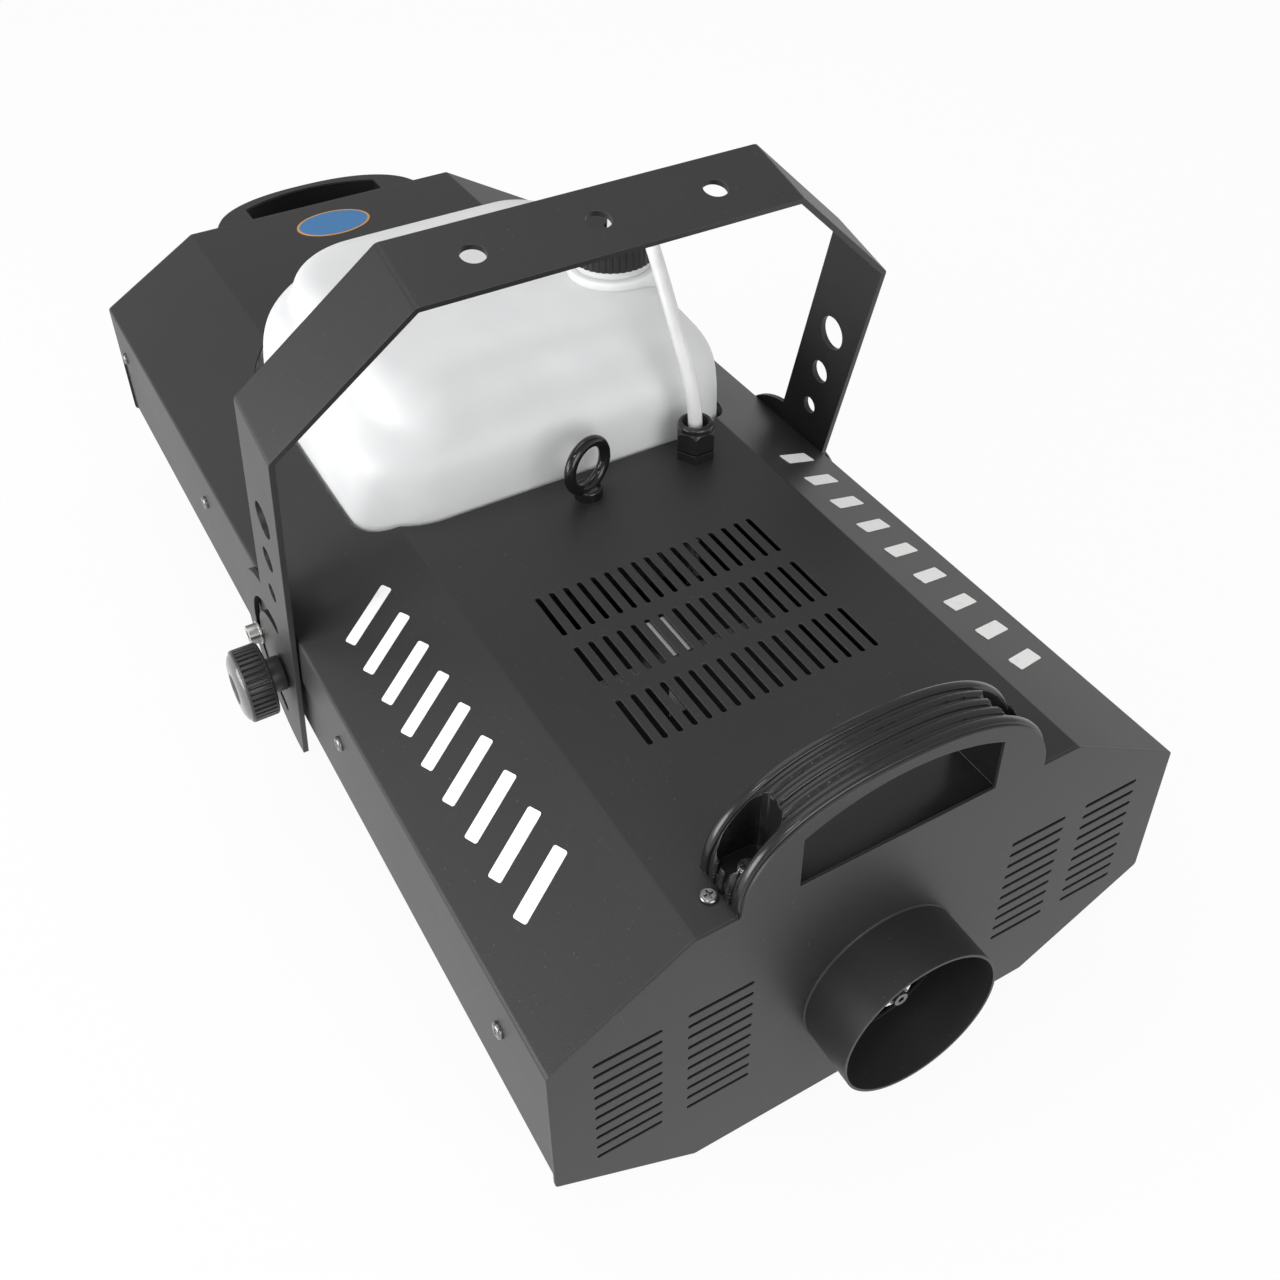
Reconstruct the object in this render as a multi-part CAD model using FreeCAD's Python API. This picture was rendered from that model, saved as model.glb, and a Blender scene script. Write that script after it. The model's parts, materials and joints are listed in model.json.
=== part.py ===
import FreeCAD, Part
import math
import os

# Fog machine with a tilting hanging yoke. Millimetres, +Z up, front towards -Y.
# The origin is under the middle of the overall length and width, at the underside of the feet.

Vec = FreeCAD.Vector
along_x = Vec(1, 0, 0)
along_y = Vec(0, 1, 0)
along_z = Vec(0, 0, 1)

# ---- case: an eight-sided tunnel of sheet steel ----
body_width = 330.0
body_length = 676.0
body_height = 161.0
top_width = 196.0
bottom_width = 192.0
side_low = 38.0            # heights of the bends, from the underside
side_high = 121.0
cover_sheet = 1.2
tray_sheet = 1.2
panel_sheet = 1.5
sheet_gap = 0.2
bend_radius = 3.0
cover_flange_low = 85.0    # lower edge of the cover's side flange
tray_wall_high = 102.0
panel_return = 20.0        # depth of the flange folded back from each end panel
foot_height = 12.0
foot_radius = 16.0
foot_inset_x = 70.0
foot_inset_y = 62.0

# ---- carrying handles ----
arch_half = 78.5
arch_height = 49.0
arch_power = 2.33          # superellipse exponent of the arch
arch_points = 13
grip_depth = 28.0
grip_ribs = 5
groove_width = 1.8
groove_depth = 1.3
tab_margin = 1.2           # the sheet tab stops this far inside the grip's outline
window_half = 50.0
window_low = 1.6
window_side = 30.0
window_top = 42.0
pocket_x = 65.0
pocket_width = 24.0
pocket_depth_y = 18.0
pocket_floor = 6.0
pocket_corner = 7.0
rear_handle_drop = 6.0     # top of the rear handle under the top of the case

# ---- vents ----
top_vent_rows = 3
top_vent_count = 17
vent_pitch = 7.7
top_vent_length = 31.0
top_vent_width = 3.0
top_vent_row_pitch = 40.4
top_vent_first = 111.5     # middle of the first row, from the front face
front_vent_count = 10
front_vent_length = 32.0
front_vent_width = 2.5
front_vent_middles = (85.0, 129.0)
front_vent_height = 78.0   # middle of a front vent group

# ---- nozzle and heater ----
nozzle_height = 67.5
nozzle_reach = 30.0
shroud_radius = 41.0
shroud_sheet = 1.2
weld_bead = 0.6            # rise of the weld at the foot of the nozzle tube
weld_bead_long = 0.8
fit_gap = 0.15
tip_across = 9.5
tip_snout_radius = 3.6
tip_snout_long = 2.5
tip_reach = 16.0
tip_length = 7.0
tip_bore = 1.5
steam_pipe_radius = 6.0
steam_pipe_bore = 2.5
ring_radius = 9.0
ring_thick = 2.5
block_width = 100.0
block_low = 28.0
block_high = 106.0
block_front = 32.0
block_length = 180.0
lagging_thick = 12.0
heater_sheet = 0.8
strap_width = 12.0
element_radius = 4.0
element_reach = 16.0
thermostat_radius = 8.0
stay_left = -27.0
stay_right = -11.0

# ---- fluid tank ----
tank_width = 230.0
tank_length = 228.0
tank_front = 289.0         # front wall of the tank, from the front face
tank_floor = 64.0
tank_top = 219.0
tank_corner = 40.0
tank_shoulder = 36.0
tank_heel = 10.0
tank_wall = 2.5
tank_gap = 1.5             # between the tank and the sheet around it
neck_x = 82.0
neck_y = 386.0
neck_radius = 23.0
neck_bore = 18.0
neck_top = 243.5
neck_collar_step = 5.0     # how far the collar stands out from the neck
neck_collar_high = 227.0
cap_skirt = 1.65           # wall of the cap about the neck
cap_low = 229.0
cap_top = 247.0
cap_ribs = 40
cap_rib_radius = 0.9
filter_radius = 7.0
filter_long = 15.2
filter_bore = 3.0
running_gap = 0.05         # shafts and pins in their holes
thread_gap = 0.35          # parts that screw into or over each other

# ---- hose, gland and pump ----
hose_radius = 4.0
hose_route = [             # x, distance from the front face, height over the underside: filter to pump
    (82.0, 386.0, 82.0),
    (82.0, 386.0, 264.0),
    (79.5, 369.0, 281.0),
    (75.5, 343.0, 281.5),
    (68.0, 308.0, 258.0),
    (64.0, 282.0, 236.0),
    (69.0, 271.0, 206.0),
    (69.0, 271.0, 54.0),
]
bend_share = 0.45          # part of the shorter run that a bend takes
gland_x = 69.0
gland_y = 271.0
gland_across = 20.0
gland_base_high = 5.5
gland_nut_high = 11.5
gland_dome_high = 4.0
gland_thread_radius = 8.0
gland_thread_long = 11.0
gland_mouth_radius = 7.5
gland_mouth_deep = 5.0
pump_width = 52.0
pump_length = 42.0
pump_low = 8.0
pump_high = 50.0
pump_y = 256.0
pump_pipe_radius = 3.0
pump_pipe_height = 38.0
pump_pipe_x = 44.0

# ---- lifting eye ----
eye_y = 268.0
eye_turn = 21.0            # degrees that the ring is turned from facing the nozzle
eye_ring_radius = 14.0
eye_ring_thick = 3.2
eye_ring_height = 19.5
eye_collar_radius = 7.8
eye_collar_high = 6.0
eye_thread_radius = 3.0
eye_thread_long = 14.0

# ---- yoke ----
pivot_y = 316.5
pivot_height = 72.0
yoke_strip = 44.0
yoke_sheet = 3.0
yoke_gap = 1.0             # between the case's side and the leg
yoke_knee = 200.0          # from the pivot to the bend of the leg
yoke_reach = 269.0         # from the pivot to the outside of the top bar
yoke_bar_half = 99.0
yoke_rest_tilt = 15.0      # degrees forward of upright
lobe_radius = 60.0
bar_hole_radius = 6.25
bar_hole_spacing = 62.5
leg_holes = ((135.6, 10.0), (104.0, 7.0), (75.3, 5.3))
slot_radius = 40.0
slot_width = 9.0
slot_half_angle = 85.0
lock_angle = -3.0          # of the lock screw about the pivot, above level
lock_thread_radius = 3.9
lock_head_radius = 6.0
lock_head_high = 6.0
lock_washer_radius = 7.0
lock_washer_thick = 1.0
lock_socket_across = 6.0
lock_socket_deep = 3.5
stud_radius = 5.0
knob_radius = 20.8
knob_thick = 18.5
knob_inner_reach = 9.0     # knob's inner face from the leg's outer face
knob_flutes = 40
knob_flute_radius = 0.9
knob_dome = 3.0
hub_radius = 10.0
washer_radius = 12.0

# ---- small fixings ----
screw_head_radius = 4.0
screw_head_high = 2.2
screw_thread_radius = 1.75
screw_long = 8.0
recess_width = 1.0
recess_deep = 1.2
side_screw_height = 93.0
side_screw_places = (45.0, 230.0, 460.0, 652.0)
top_screw_x = 83.0
top_screw_y = 15.0
handle_screw_radius = 2.5
handle_screw_head = 4.6

# ---- rear connections ----
inlet_x = -105.0
fuse_x = -55.0
switch_x = 0.0
remote_x = 58.0
signal_x = 108.0
port_height = 78.0
inlet_width = 50.0
inlet_high = 28.0
inlet_depth = 30.0
fuse_radius = 7.0
fuse_bore = 4.5
fuse_cap_radius = 8.0
fuse_cap_long = 9.0
switch_width = 24.0
switch_high = 30.0
switch_wall = 2.5
switch_depth = 18.0
rocker_throw = 8.0
socket_radius = 12.0

half_width = body_width / 2
neck_collar_radius = neck_radius + neck_collar_step
cap_radius = neck_radius + thread_gap + cap_skirt
overall_length = nozzle_reach + body_length + arch_height
front_y = nozzle_reach - overall_length / 2
rear_y = front_y + body_length
case_top = foot_height + body_height
leg_inner = half_width + yoke_gap
leg_outer = leg_inner + yoke_sheet


def spot(x, from_front, height):
    """Point given from the front face and the case's underside."""
    return Vec(x, front_y + from_front, foot_height + height)


def box(x_low, x_high, from_low, from_high, low, high):
    """Box given from the front face and the case's underside."""
    return Part.makeBox(x_high - x_low, from_high - from_low, high - low, spot(x_low, from_low, low))


def rod(radius, start, direction, length):
    return Part.makeCylinder(radius, length, start, direction)


def pipe(outer, inner, start, direction, length):
    return rod(outer, start, direction, length).cut(rod(inner, start, direction, length))


def hexagon(across, start, direction, length):
    corner = across / math.sqrt(3)
    points = []
    for index in range(7):
        angle = math.radians(60 * index)
        points.append(Vec(corner * math.cos(angle), corner * math.sin(angle), 0))
    bar = Part.Face(Part.makePolygon(points)).extrude(Vec(0, 0, length))
    bar.Placement = FreeCAD.Placement(start, FreeCAD.Rotation(along_z, direction))
    return bar


def mirrored(shape):
    return shape.mirror(Vec(0, 0, 0), along_x)


def joined(shapes):
    result = shapes[0]
    if len(shapes) > 1:
        result = shapes[0].multiFuse(shapes[1:])
    return result.removeSplitter()


def without(shape, cutters):
    return shape.cut(Part.makeCompound(cutters))


def save(name, shape):
    """Write one node; a list becomes a group of separate solids."""
    if isinstance(shape, list):
        shape = Part.makeCompound(shape)
    shape.exportStep("parts/" + name + ".step")


def at_x(x):
    return lambda point: Vec(x, point.x, point.y)


def at_y(y):
    return lambda point: Vec(point.x, y, point.y)


def at_z(z):
    return lambda point: Vec(point.x, point.y, z)


def round_cornered(points, radius, place):
    """Flat face with straight sides and one radius at every corner."""
    count = len(points)
    corners = []
    for index in range(count):
        here = Vec(points[index][0], points[index][1], 0)
        last = Vec(points[index - 1][0], points[index - 1][1], 0)
        following = Vec(points[(index + 1) % count][0], points[(index + 1) % count][1], 0)
        back = (last - here).normalize()
        ahead = (following - here).normalize()
        half_angle = back.getAngle(ahead) / 2
        reach = radius / math.tan(half_angle)
        inward = (back + ahead).normalize()
        middle = here + inward * (radius / math.sin(half_angle) - radius)
        corners.append((here + back * reach, middle, here + ahead * reach))
    edges = []
    for index in range(count):
        start, middle, end = corners[index]
        edges.append(Part.Arc(place(start), place(middle), place(end)).toShape())
        target = corners[(index + 1) % count][0]
        if (target - end).Length > 0.001:
            edges.append(Part.LineSegment(place(end), place(target)).toShape())
    return Part.Face(Part.Wire(edges))


def inset(points, distance):
    """Outline of a convex shape, run anticlockwise, moved inwards."""
    count = len(points)
    moved = []
    for index in range(count):
        here = Vec(points[index][0], points[index][1], 0)
        last = Vec(points[index - 1][0], points[index - 1][1], 0)
        following = Vec(points[(index + 1) % count][0], points[(index + 1) % count][1], 0)
        before = along_z.cross((here - last).normalize())
        after = along_z.cross((following - here).normalize())
        corner = here + (before + after) * (distance / (1 + before.dot(after)))
        moved.append((corner.x, corner.y))
    return moved


def rectangle(x_low, x_high, y_low, y_high):
    return [(x_low, y_low), (x_high, y_low), (x_high, y_high), (x_low, y_high)]


def tunnel(distance, from_low, from_high):
    """Length of the case's eight-sided section, moved inwards by the distance."""
    half_top = top_width / 2
    half_bottom = bottom_width / 2
    outline = [
        (-half_bottom, 0.0), (half_bottom, 0.0), (half_width, side_low), (half_width, side_high),
        (half_top, body_height), (-half_top, body_height), (-half_width, side_high), (-half_width, side_low),
    ]
    lifted = [(x, z + foot_height) for x, z in inset(outline, distance)]
    radius = max(bend_radius - distance, 0.5)
    face = round_cornered(lifted, radius, at_y(front_y + from_low))
    return face.extrude(Vec(0, from_high - from_low, 0))


def slot_bar(length, width, depth):
    """Round-ended bar along X, centred on the origin, for cutting slots along Z."""
    sides = rectangle(-length / 2, length / 2, -width / 2, width / 2)
    return round_cornered(sides, width / 2, at_z(-depth / 2)).extrude(Vec(0, 0, depth))


def screw(head, direction, long=screw_long, head_radius=screw_head_radius, radius=screw_thread_radius):
    """Cross-head screw; head is the point under its head, and direction points out of the head."""
    cap = rod(head_radius, head, direction, screw_head_high)
    rim = [edge for edge in cap.Edges if (edge.CenterOfMass - head).dot(direction) > screw_head_high - 0.1]
    cap = cap.makeFillet(screw_head_high * 0.6, rim[:1])
    shank = rod(radius, head - direction * long, direction, long)
    side = along_x if abs(direction.x) < 0.5 else along_y
    other = direction.cross(side)
    result = joined([cap, shank])
    for arm in (side, other):
        across = direction.cross(arm)
        corner = head + direction * (screw_head_high - recess_deep)
        half_arm = arm * (head_radius * 0.55)
        half_across = across * (recess_width / 2)
        points = [
            corner - half_arm - half_across, corner + half_arm - half_across,
            corner + half_arm + half_across, corner - half_arm + half_across,
        ]
        blade = Part.Face(Part.makePolygon(points + points[:1])).extrude(direction * (recess_deep * 2))
        result = result.cut(blade)
    return result


# ---- case ----

def side_screw_points():
    points = []
    for place in side_screw_places:
        for side in (-1, 1):
            points.append((side, spot(side * half_width, place, side_screw_height)))
    return points


def side_screw_holes(radius):
    cutters = []
    for side, point in side_screw_points():
        cutters.append(rod(radius, point - along_x * side * 6, along_x * side, 12))
    return cutters


def pivot_holes(radius):
    return [rod(radius, spot(-half_width - 10, pivot_y, pivot_height), along_x, body_width + 20)]


def lock_point(side):
    angle = math.radians(lock_angle)
    return spot(side * half_width, pivot_y + slot_radius * math.cos(angle),
                pivot_height + slot_radius * math.sin(angle))


def lock_holes(radius):
    cutters = []
    for side in (-1, 1):
        cutters.append(rod(radius, lock_point(side) - along_x * side * 20, along_x * side, 40))
    return cutters


def foot_places():
    places = []
    for side in (-1, 1):
        for distance in (foot_inset_y, body_length - foot_inset_y):
            places.append((side * foot_inset_x, distance))
    return places


def bottom_tray():
    ends = (panel_sheet, body_length - panel_sheet)
    skin = cover_sheet + sheet_gap
    shell = tunnel(skin, *ends).cut(tunnel(skin + tray_sheet, *ends))
    trimmed = shell.cut(box(-half_width, half_width, 0, body_length, tray_wall_high, body_height + 1))
    cutters = side_screw_holes(screw_thread_radius + 0.1) + pivot_holes(stud_radius + 0.5)
    cutters += lock_holes(lock_thread_radius + 0.1)
    for x, distance in foot_places():
        cutters.append(rod(screw_thread_radius + 0.2, spot(x, distance, -1), along_z, 6))
    return without(trimmed, cutters)


def vent_cutters_top():
    bar = slot_bar(top_vent_length, top_vent_width, 10)
    bar.rotate(Vec(0, 0, 0), along_z, 90)
    cutters = []
    for row in range(top_vent_rows):
        for index in range(top_vent_count):
            cutter = bar.copy()
            x = (index - (top_vent_count - 1) / 2) * vent_pitch
            cutter.translate(spot(x, top_vent_first + row * top_vent_row_pitch, body_height))
            cutters.append(cutter)
    return cutters


def tank_outline(gap):
    front = front_y + tank_front
    half = tank_width / 2
    return rectangle(-half - gap, half + gap, front - gap, front + tank_length + gap)


def tank_block(gap, low, high):
    """Upright block with the tank's footprint, grown by the gap."""
    face = round_cornered(tank_outline(gap), tank_corner + gap, at_z(foot_height + low))
    return face.extrude(Vec(0, 0, high - low))


def handle_screw_points():
    """Points under the heads of the front handle's screws, and of the rear handle's."""
    middle = panel_sheet + grip_depth / 2
    front = [spot(side * pocket_x, middle, body_height + pocket_floor) for side in (-1, 1)]
    height = body_height - rear_handle_drop - panel_sheet - grip_depth / 2
    rear = [spot(side * pocket_x, body_length + pocket_floor, height) for side in (-1, 1)]
    return front, rear


def top_screw_points():
    return [spot(side * top_screw_x, top_screw_y, body_height) for side in (-1, 1)]


def top_cover():
    ends = (panel_sheet, body_length - panel_sheet)
    shell = tunnel(0, *ends).cut(tunnel(cover_sheet, *ends))
    trimmed = shell.cut(box(-half_width - 1, half_width + 1, 0, body_length, -1, cover_flange_low))
    cutters = vent_cutters_top() + side_screw_holes(screw_thread_radius + 0.1)
    cutters.append(tank_block(tank_gap, side_high, body_height + 5))
    cutters.append(rod(gland_thread_radius + fit_gap, spot(gland_x, gland_y, body_height - 5), along_z, 10))
    cutters.append(rod(eye_thread_radius + fit_gap, spot(0, eye_y, body_height - 5), along_z, 10))
    for point in top_screw_points():
        cutters.append(rod(screw_thread_radius + 0.1, point - along_z * 5, along_z, 10))
    for point in handle_screw_points()[0]:
        cutters.append(rod(handle_screw_radius + fit_gap, point - along_z * 20, along_z, 30))
    return without(trimmed, cutters)


def arch_face(half, height, low, place):
    """Arched outline over a straight base, as a superellipse quarter on each side."""
    points = []
    for index in range(arch_points):
        angle = math.pi * index / (arch_points - 1)
        across = half * math.copysign(abs(math.cos(angle)) ** (2 / arch_power), math.cos(angle))
        points.append(place(Vec(across, low + (height - low) * math.sin(angle) ** (2 / arch_power), 0)))
    curve = Part.BSplineCurve()
    curve.interpolate(points)
    base = Part.LineSegment(points[-1], points[0])
    return Part.Face(Part.Wire([curve.toShape(), base.toShape()]))


def window_bar(margin, depth):
    """Finger opening of a handle, in the plane of X and Z, starting at the handle's base."""
    half = window_half + margin
    low = window_low - margin
    arch_top = window_top + margin
    corners = [Vec(-half, 0, low), Vec(half, 0, low), Vec(half, 0, window_side), Vec(-half, 0, window_side)]
    edges = []
    for start, end in ((3, 0), (0, 1), (1, 2)):
        edges.append(Part.LineSegment(corners[start], corners[end]).toShape())
    edges.append(Part.Arc(corners[2], Vec(0, 0, arch_top), corners[3]).toShape())
    return Part.Face(Part.Wire(edges)).extrude(Vec(0, depth, 0))


def tab_plate():
    """Sheet tab on an end panel that covers the outer face of its grip."""
    face = arch_face(arch_half - tab_margin, arch_height - tab_margin, -2.0, at_y(0))
    plate = face.extrude(Vec(0, panel_sheet, 0))
    opening = window_bar(0, panel_sheet * 3)
    opening.translate(Vec(0, -panel_sheet, 0))
    return plate.cut(opening)


def turned_back(shape):
    """Lay a handle piece down so that it stands out of the rear panel."""
    turned = shape.copy()
    turned.rotate(Vec(0, 0, 0), along_x, -90)
    turned.translate(Vec(0, rear_y, case_top - rear_handle_drop))
    return turned


def end_panel(y_outer, inward):
    """Flat octagon with a return flange; inward is +1 at the front and -1 at the rear."""
    first = y_outer - front_y
    inner = first + inward * panel_sheet
    plate = tunnel(0, min(first, inner), max(first, inner))
    flange_skin = cover_sheet + tray_sheet + 2 * sheet_gap
    back = first + inward * panel_return
    reach = (min(inner, back), max(inner, back))
    flange = tunnel(flange_skin, *reach).cut(tunnel(flange_skin + panel_sheet, *reach))
    return plate, flange


def front_panel():
    plate, flange = end_panel(front_y, 1)
    tab = tab_plate()
    tab.translate(Vec(0, front_y, case_top))
    cutters = [rod(shroud_radius - shroud_sheet, spot(0, -5, nozzle_height), along_y, 20)]
    bar = slot_bar(front_vent_length, front_vent_width, 12)
    bar.rotate(Vec(0, 0, 0), along_x, 90)
    for side in (-1, 1):
        for middle in front_vent_middles:
            for index in range(front_vent_count):
                cutter = bar.copy()
                lift = (index - (front_vent_count - 1) / 2) * vent_pitch
                cutter.translate(spot(side * middle, 0, front_vent_height + lift))
                cutters.append(cutter)
    for point in top_screw_points():
        cutters.append(rod(screw_thread_radius, point - along_z * 12, along_z, 12))
    for point in handle_screw_points()[0]:
        cutters.append(rod(handle_screw_radius + fit_gap, point - along_z * 20, along_z, 30))
    flange = without(flange, cutters)
    return without(joined([plate, tab, flange]), cutters)


def port_hole(x, width, high):
    return box(x - width / 2, x + width / 2, body_length - 5, body_length + 5,
               port_height - high / 2, port_height + high / 2)


def rear_panel():
    plate, flange = end_panel(rear_y, -1)
    tab = turned_back(tab_plate())
    cutters = [
        port_hole(inlet_x, inlet_width - 10 + fit_gap, inlet_high - 4 + fit_gap),
        port_hole(switch_x, switch_width + fit_gap, switch_high + fit_gap),
        rod(fuse_radius + fit_gap, spot(fuse_x, body_length - 5, port_height), along_y, 10),
    ]
    for x in (remote_x, signal_x):
        cutters.append(rod(socket_radius + fit_gap, spot(x, body_length - 5, port_height), along_y, 10))
    for point in handle_screw_points()[1]:
        cutters.append(rod(handle_screw_radius + fit_gap, point - along_y * 20, along_y, 30))
    return without(joined([plate, tab, flange]), cutters)


def grip():
    """Ribbed plastic arch, standing on the plane z = 0 with its outer face at y = 0."""
    outer = arch_face(arch_half, arch_height, 0.0, at_y(0)).extrude(Vec(0, grip_depth, 0))
    pitch = grip_depth / grip_ribs
    cutters = []
    for index in range(1, grip_ribs):
        start = index * pitch - groove_width / 2
        full = arch_face(arch_half + 2, arch_height + 2, -1.0, at_y(start))
        core = arch_face(arch_half - groove_depth, arch_height - groove_depth, -2.0, at_y(start))
        depth = Vec(0, groove_width, 0)
        cutters.append(full.extrude(depth).cut(core.extrude(depth)))
    opening = window_bar(1.0, grip_depth + 2)
    opening.translate(Vec(0, -1, 0))
    cutters.append(opening)
    middle = grip_depth / 2
    for side in (-1, 1):
        sides = rectangle(side * pocket_x - pocket_width / 2, side * pocket_x + pocket_width / 2,
                          middle - pocket_depth_y / 2, middle + pocket_depth_y / 2)
        face = round_cornered(sides, pocket_corner, at_z(pocket_floor))
        cutters.append(face.extrude(Vec(0, 0, arch_height)))
        cutters.append(rod(handle_screw_radius + fit_gap, Vec(side * pocket_x, middle, -1), along_z, 20))
    return without(outer, cutters)


def front_grip():
    piece = grip()
    piece.translate(Vec(0, front_y + panel_sheet, case_top))
    return piece


def rear_grip():
    piece = grip()
    piece.translate(Vec(0, panel_sheet, 0))
    return turned_back(piece)


def handle_screws():
    front, rear = handle_screw_points()
    screws = []
    for points, direction in ((front, along_z), (rear, along_y)):
        for point in points:
            screws.append(screw(point, direction, 16, handle_screw_head, handle_screw_radius))
    return screws


def cover_screws():
    screws = []
    for side, point in side_screw_points():
        screws.append(screw(point, along_x * side))
    for point in top_screw_points():
        screws.append(screw(point, along_z))
    return screws


def rubber_feet():
    feet = []
    for x, distance in foot_places():
        start = Vec(x, front_y + distance, 0)
        top = foot_height + cover_sheet + sheet_gap
        cone = Part.makeCone(foot_radius - 2, foot_radius, top, start, along_z)
        seat = rod(screw_head_radius + 1, start, along_z, 6)
        bore = rod(screw_thread_radius + 0.2, start, along_z, top)
        feet.append(cone.cut(seat).cut(bore))
    return feet


def foot_screws():
    screws = []
    for x, distance in foot_places():
        screws.append(screw(Vec(x, front_y + distance, 6), along_z * -1, 14))
    return screws


# ---- nozzle and heater ----

def nozzle_shroud():
    """Short tube butt-welded to the front panel, with its weld bead."""
    start = spot(0, -nozzle_reach, nozzle_height)
    tube = rod(shroud_radius, start, along_y, nozzle_reach)
    bead_start = spot(0, -weld_bead_long, nozzle_height)
    bead = Part.makeCone(shroud_radius, shroud_radius + weld_bead, weld_bead_long, bead_start, along_y)
    return joined([tube, bead]).cut(rod(shroud_radius - shroud_sheet, start, along_y, nozzle_reach))


def nozzle_tip():
    start = spot(0, -tip_reach, nozzle_height)
    snout = rod(tip_snout_radius, start, along_y, tip_snout_long)
    hex_long = tip_length - ring_thick - tip_snout_long
    hex_part = hexagon(tip_across, start + along_y * tip_snout_long, along_y, hex_long)
    stem = rod(steam_pipe_bore, start, along_y, tip_length + 6)
    bore = rod(tip_bore, start - along_y, along_y, tip_length + 8)
    return joined([snout, hex_part, stem]).cut(bore)


def nozzle_ring():
    start = spot(0, -tip_reach + tip_length - ring_thick, nozzle_height)
    return pipe(ring_radius, steam_pipe_bore + fit_gap, start, along_y, ring_thick)


def steam_pipe():
    start = -tip_reach + tip_length
    length = block_front - start
    return pipe(steam_pipe_radius, steam_pipe_bore, spot(0, start, nozzle_height), along_y, length)


def element_spots():
    spots = []
    for side in (-1, 1):
        for share in (0.14, 0.38):
            spots.append((side * block_width * share, block_high - 14))
    return spots


def heater_block():
    half = block_width / 2
    body = box(-half, half, block_front, block_front + block_length, block_low, block_high)
    long_edges = [edge for edge in body.Edges if abs(edge.Length - block_length) < 0.01]
    body = body.makeFillet(6, long_edges)
    rear = block_front + block_length
    cutters = [rod(element_radius, spot(x, rear - 40, z), along_y, 41) for x, z in element_spots()]
    cutters.append(rod(pump_pipe_radius, spot(pump_pipe_x, rear - 12, pump_pipe_height), along_y, 14))
    cutters.append(rod(steam_pipe_bore, spot(0, block_front - 1, nozzle_height), along_y, 30))
    return without(body, cutters)


def heater_elements():
    rear = block_front + block_length
    return [rod(element_radius, spot(x, rear - 40, z), along_y, 40 + element_reach) for x, z in element_spots()]


def lagging_box(margin):
    half = block_width / 2 + margin
    return box(-half, half, block_front, block_front + block_length, block_low - margin, block_high + margin)


def heater_lagging():
    half = block_width / 2
    room = box(-half, half, block_front - 1, block_front + block_length + 1, block_low, block_high)
    return lagging_box(lagging_thick).cut(room)


def heater_case():
    return lagging_box(lagging_thick + heater_sheet).cut(lagging_box(lagging_thick))


def heater_straps():
    straps = []
    inner = lagging_thick + heater_sheet
    for share in (0.22, 0.78):
        middle = block_front + block_length * share
        window = box(-half_width, half_width, middle - strap_width / 2, middle + strap_width / 2, 0, body_height)
        ring = lagging_box(inner + heater_sheet).cut(lagging_box(inner))
        straps.append(ring.common(window))
    return straps


def heater_legs():
    legs = []
    low = cover_sheet + sheet_gap + tray_sheet
    high = block_low - lagging_thick - heater_sheet * 2
    for side in (-1, 1):
        for share in (0.22, 0.78):
            middle = block_front + block_length * share
            x = side * (block_width / 2 - 6)
            legs.append(pipe(5, 2, spot(x, middle, low), along_z, high - low))
    return legs


def thermostat():
    rear = block_front + block_length
    can = rod(thermostat_radius, spot(-18, rear, 66), along_y, 7)
    flange = box(-32, -4, rear, rear + 1.5, 62, 70)
    pins = [box(-18 + shift - 1, -18 + shift + 1, rear + 6, rear + 14, 63, 69) for shift in (-4, 4)]
    return joined([can, flange] + pins)


def thermal_fuse():
    rear = block_front + block_length
    body = rod(4, spot(6, rear + 4, 66), along_x, 22)
    clip = box(4, 30, rear, rear + 4, 63, 69)
    return joined([body, clip])


def cover_stay():
    """Bright bracket that keeps the cover off the heater, just under the middle vents."""
    low = block_high + lagging_thick + heater_sheet
    high = body_height - cover_sheet - sheet_gap
    foot = box(stay_left, stay_right, 140, 166, low, low + heater_sheet)
    web = box(stay_left, stay_left + heater_sheet, 140, 166, low, high)
    flange = box(stay_left, stay_right, 140, 166, high - heater_sheet, high)
    return joined([foot, web, flange])


# ---- fluid tank ----

def tank_shape(margin):
    """Blow-moulded can, moved inwards by the margin."""
    body = tank_block(-margin, tank_floor + margin, tank_top - margin)
    top = foot_height + tank_top - margin
    low = foot_height + tank_floor + margin
    top_edges = [edge for edge in body.Edges if abs(edge.CenterOfMass.z - top) < 0.01]
    body = body.makeFillet(tank_shoulder - margin, top_edges)
    low_edges = [edge for edge in body.Edges if abs(edge.CenterOfMass.z - low) < 0.01]
    return body.makeFillet(tank_heel - margin, low_edges)


def fluid_tank():
    base = spot(neck_x, neck_y, tank_top - tank_shoulder)
    neck_long = neck_top - tank_top + tank_shoulder
    neck = rod(neck_radius, base, along_z, neck_long)
    collar_base = spot(neck_x, neck_y, tank_top - tank_shoulder / 2)
    collar = rod(neck_collar_radius, collar_base, along_z, neck_collar_high - tank_top + tank_shoulder / 2)
    body = joined([tank_shape(0), collar, neck])
    bore = rod(neck_bore, base, along_z, neck_long + 1)
    return body.cut(joined([tank_shape(tank_wall), bore]))


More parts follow.
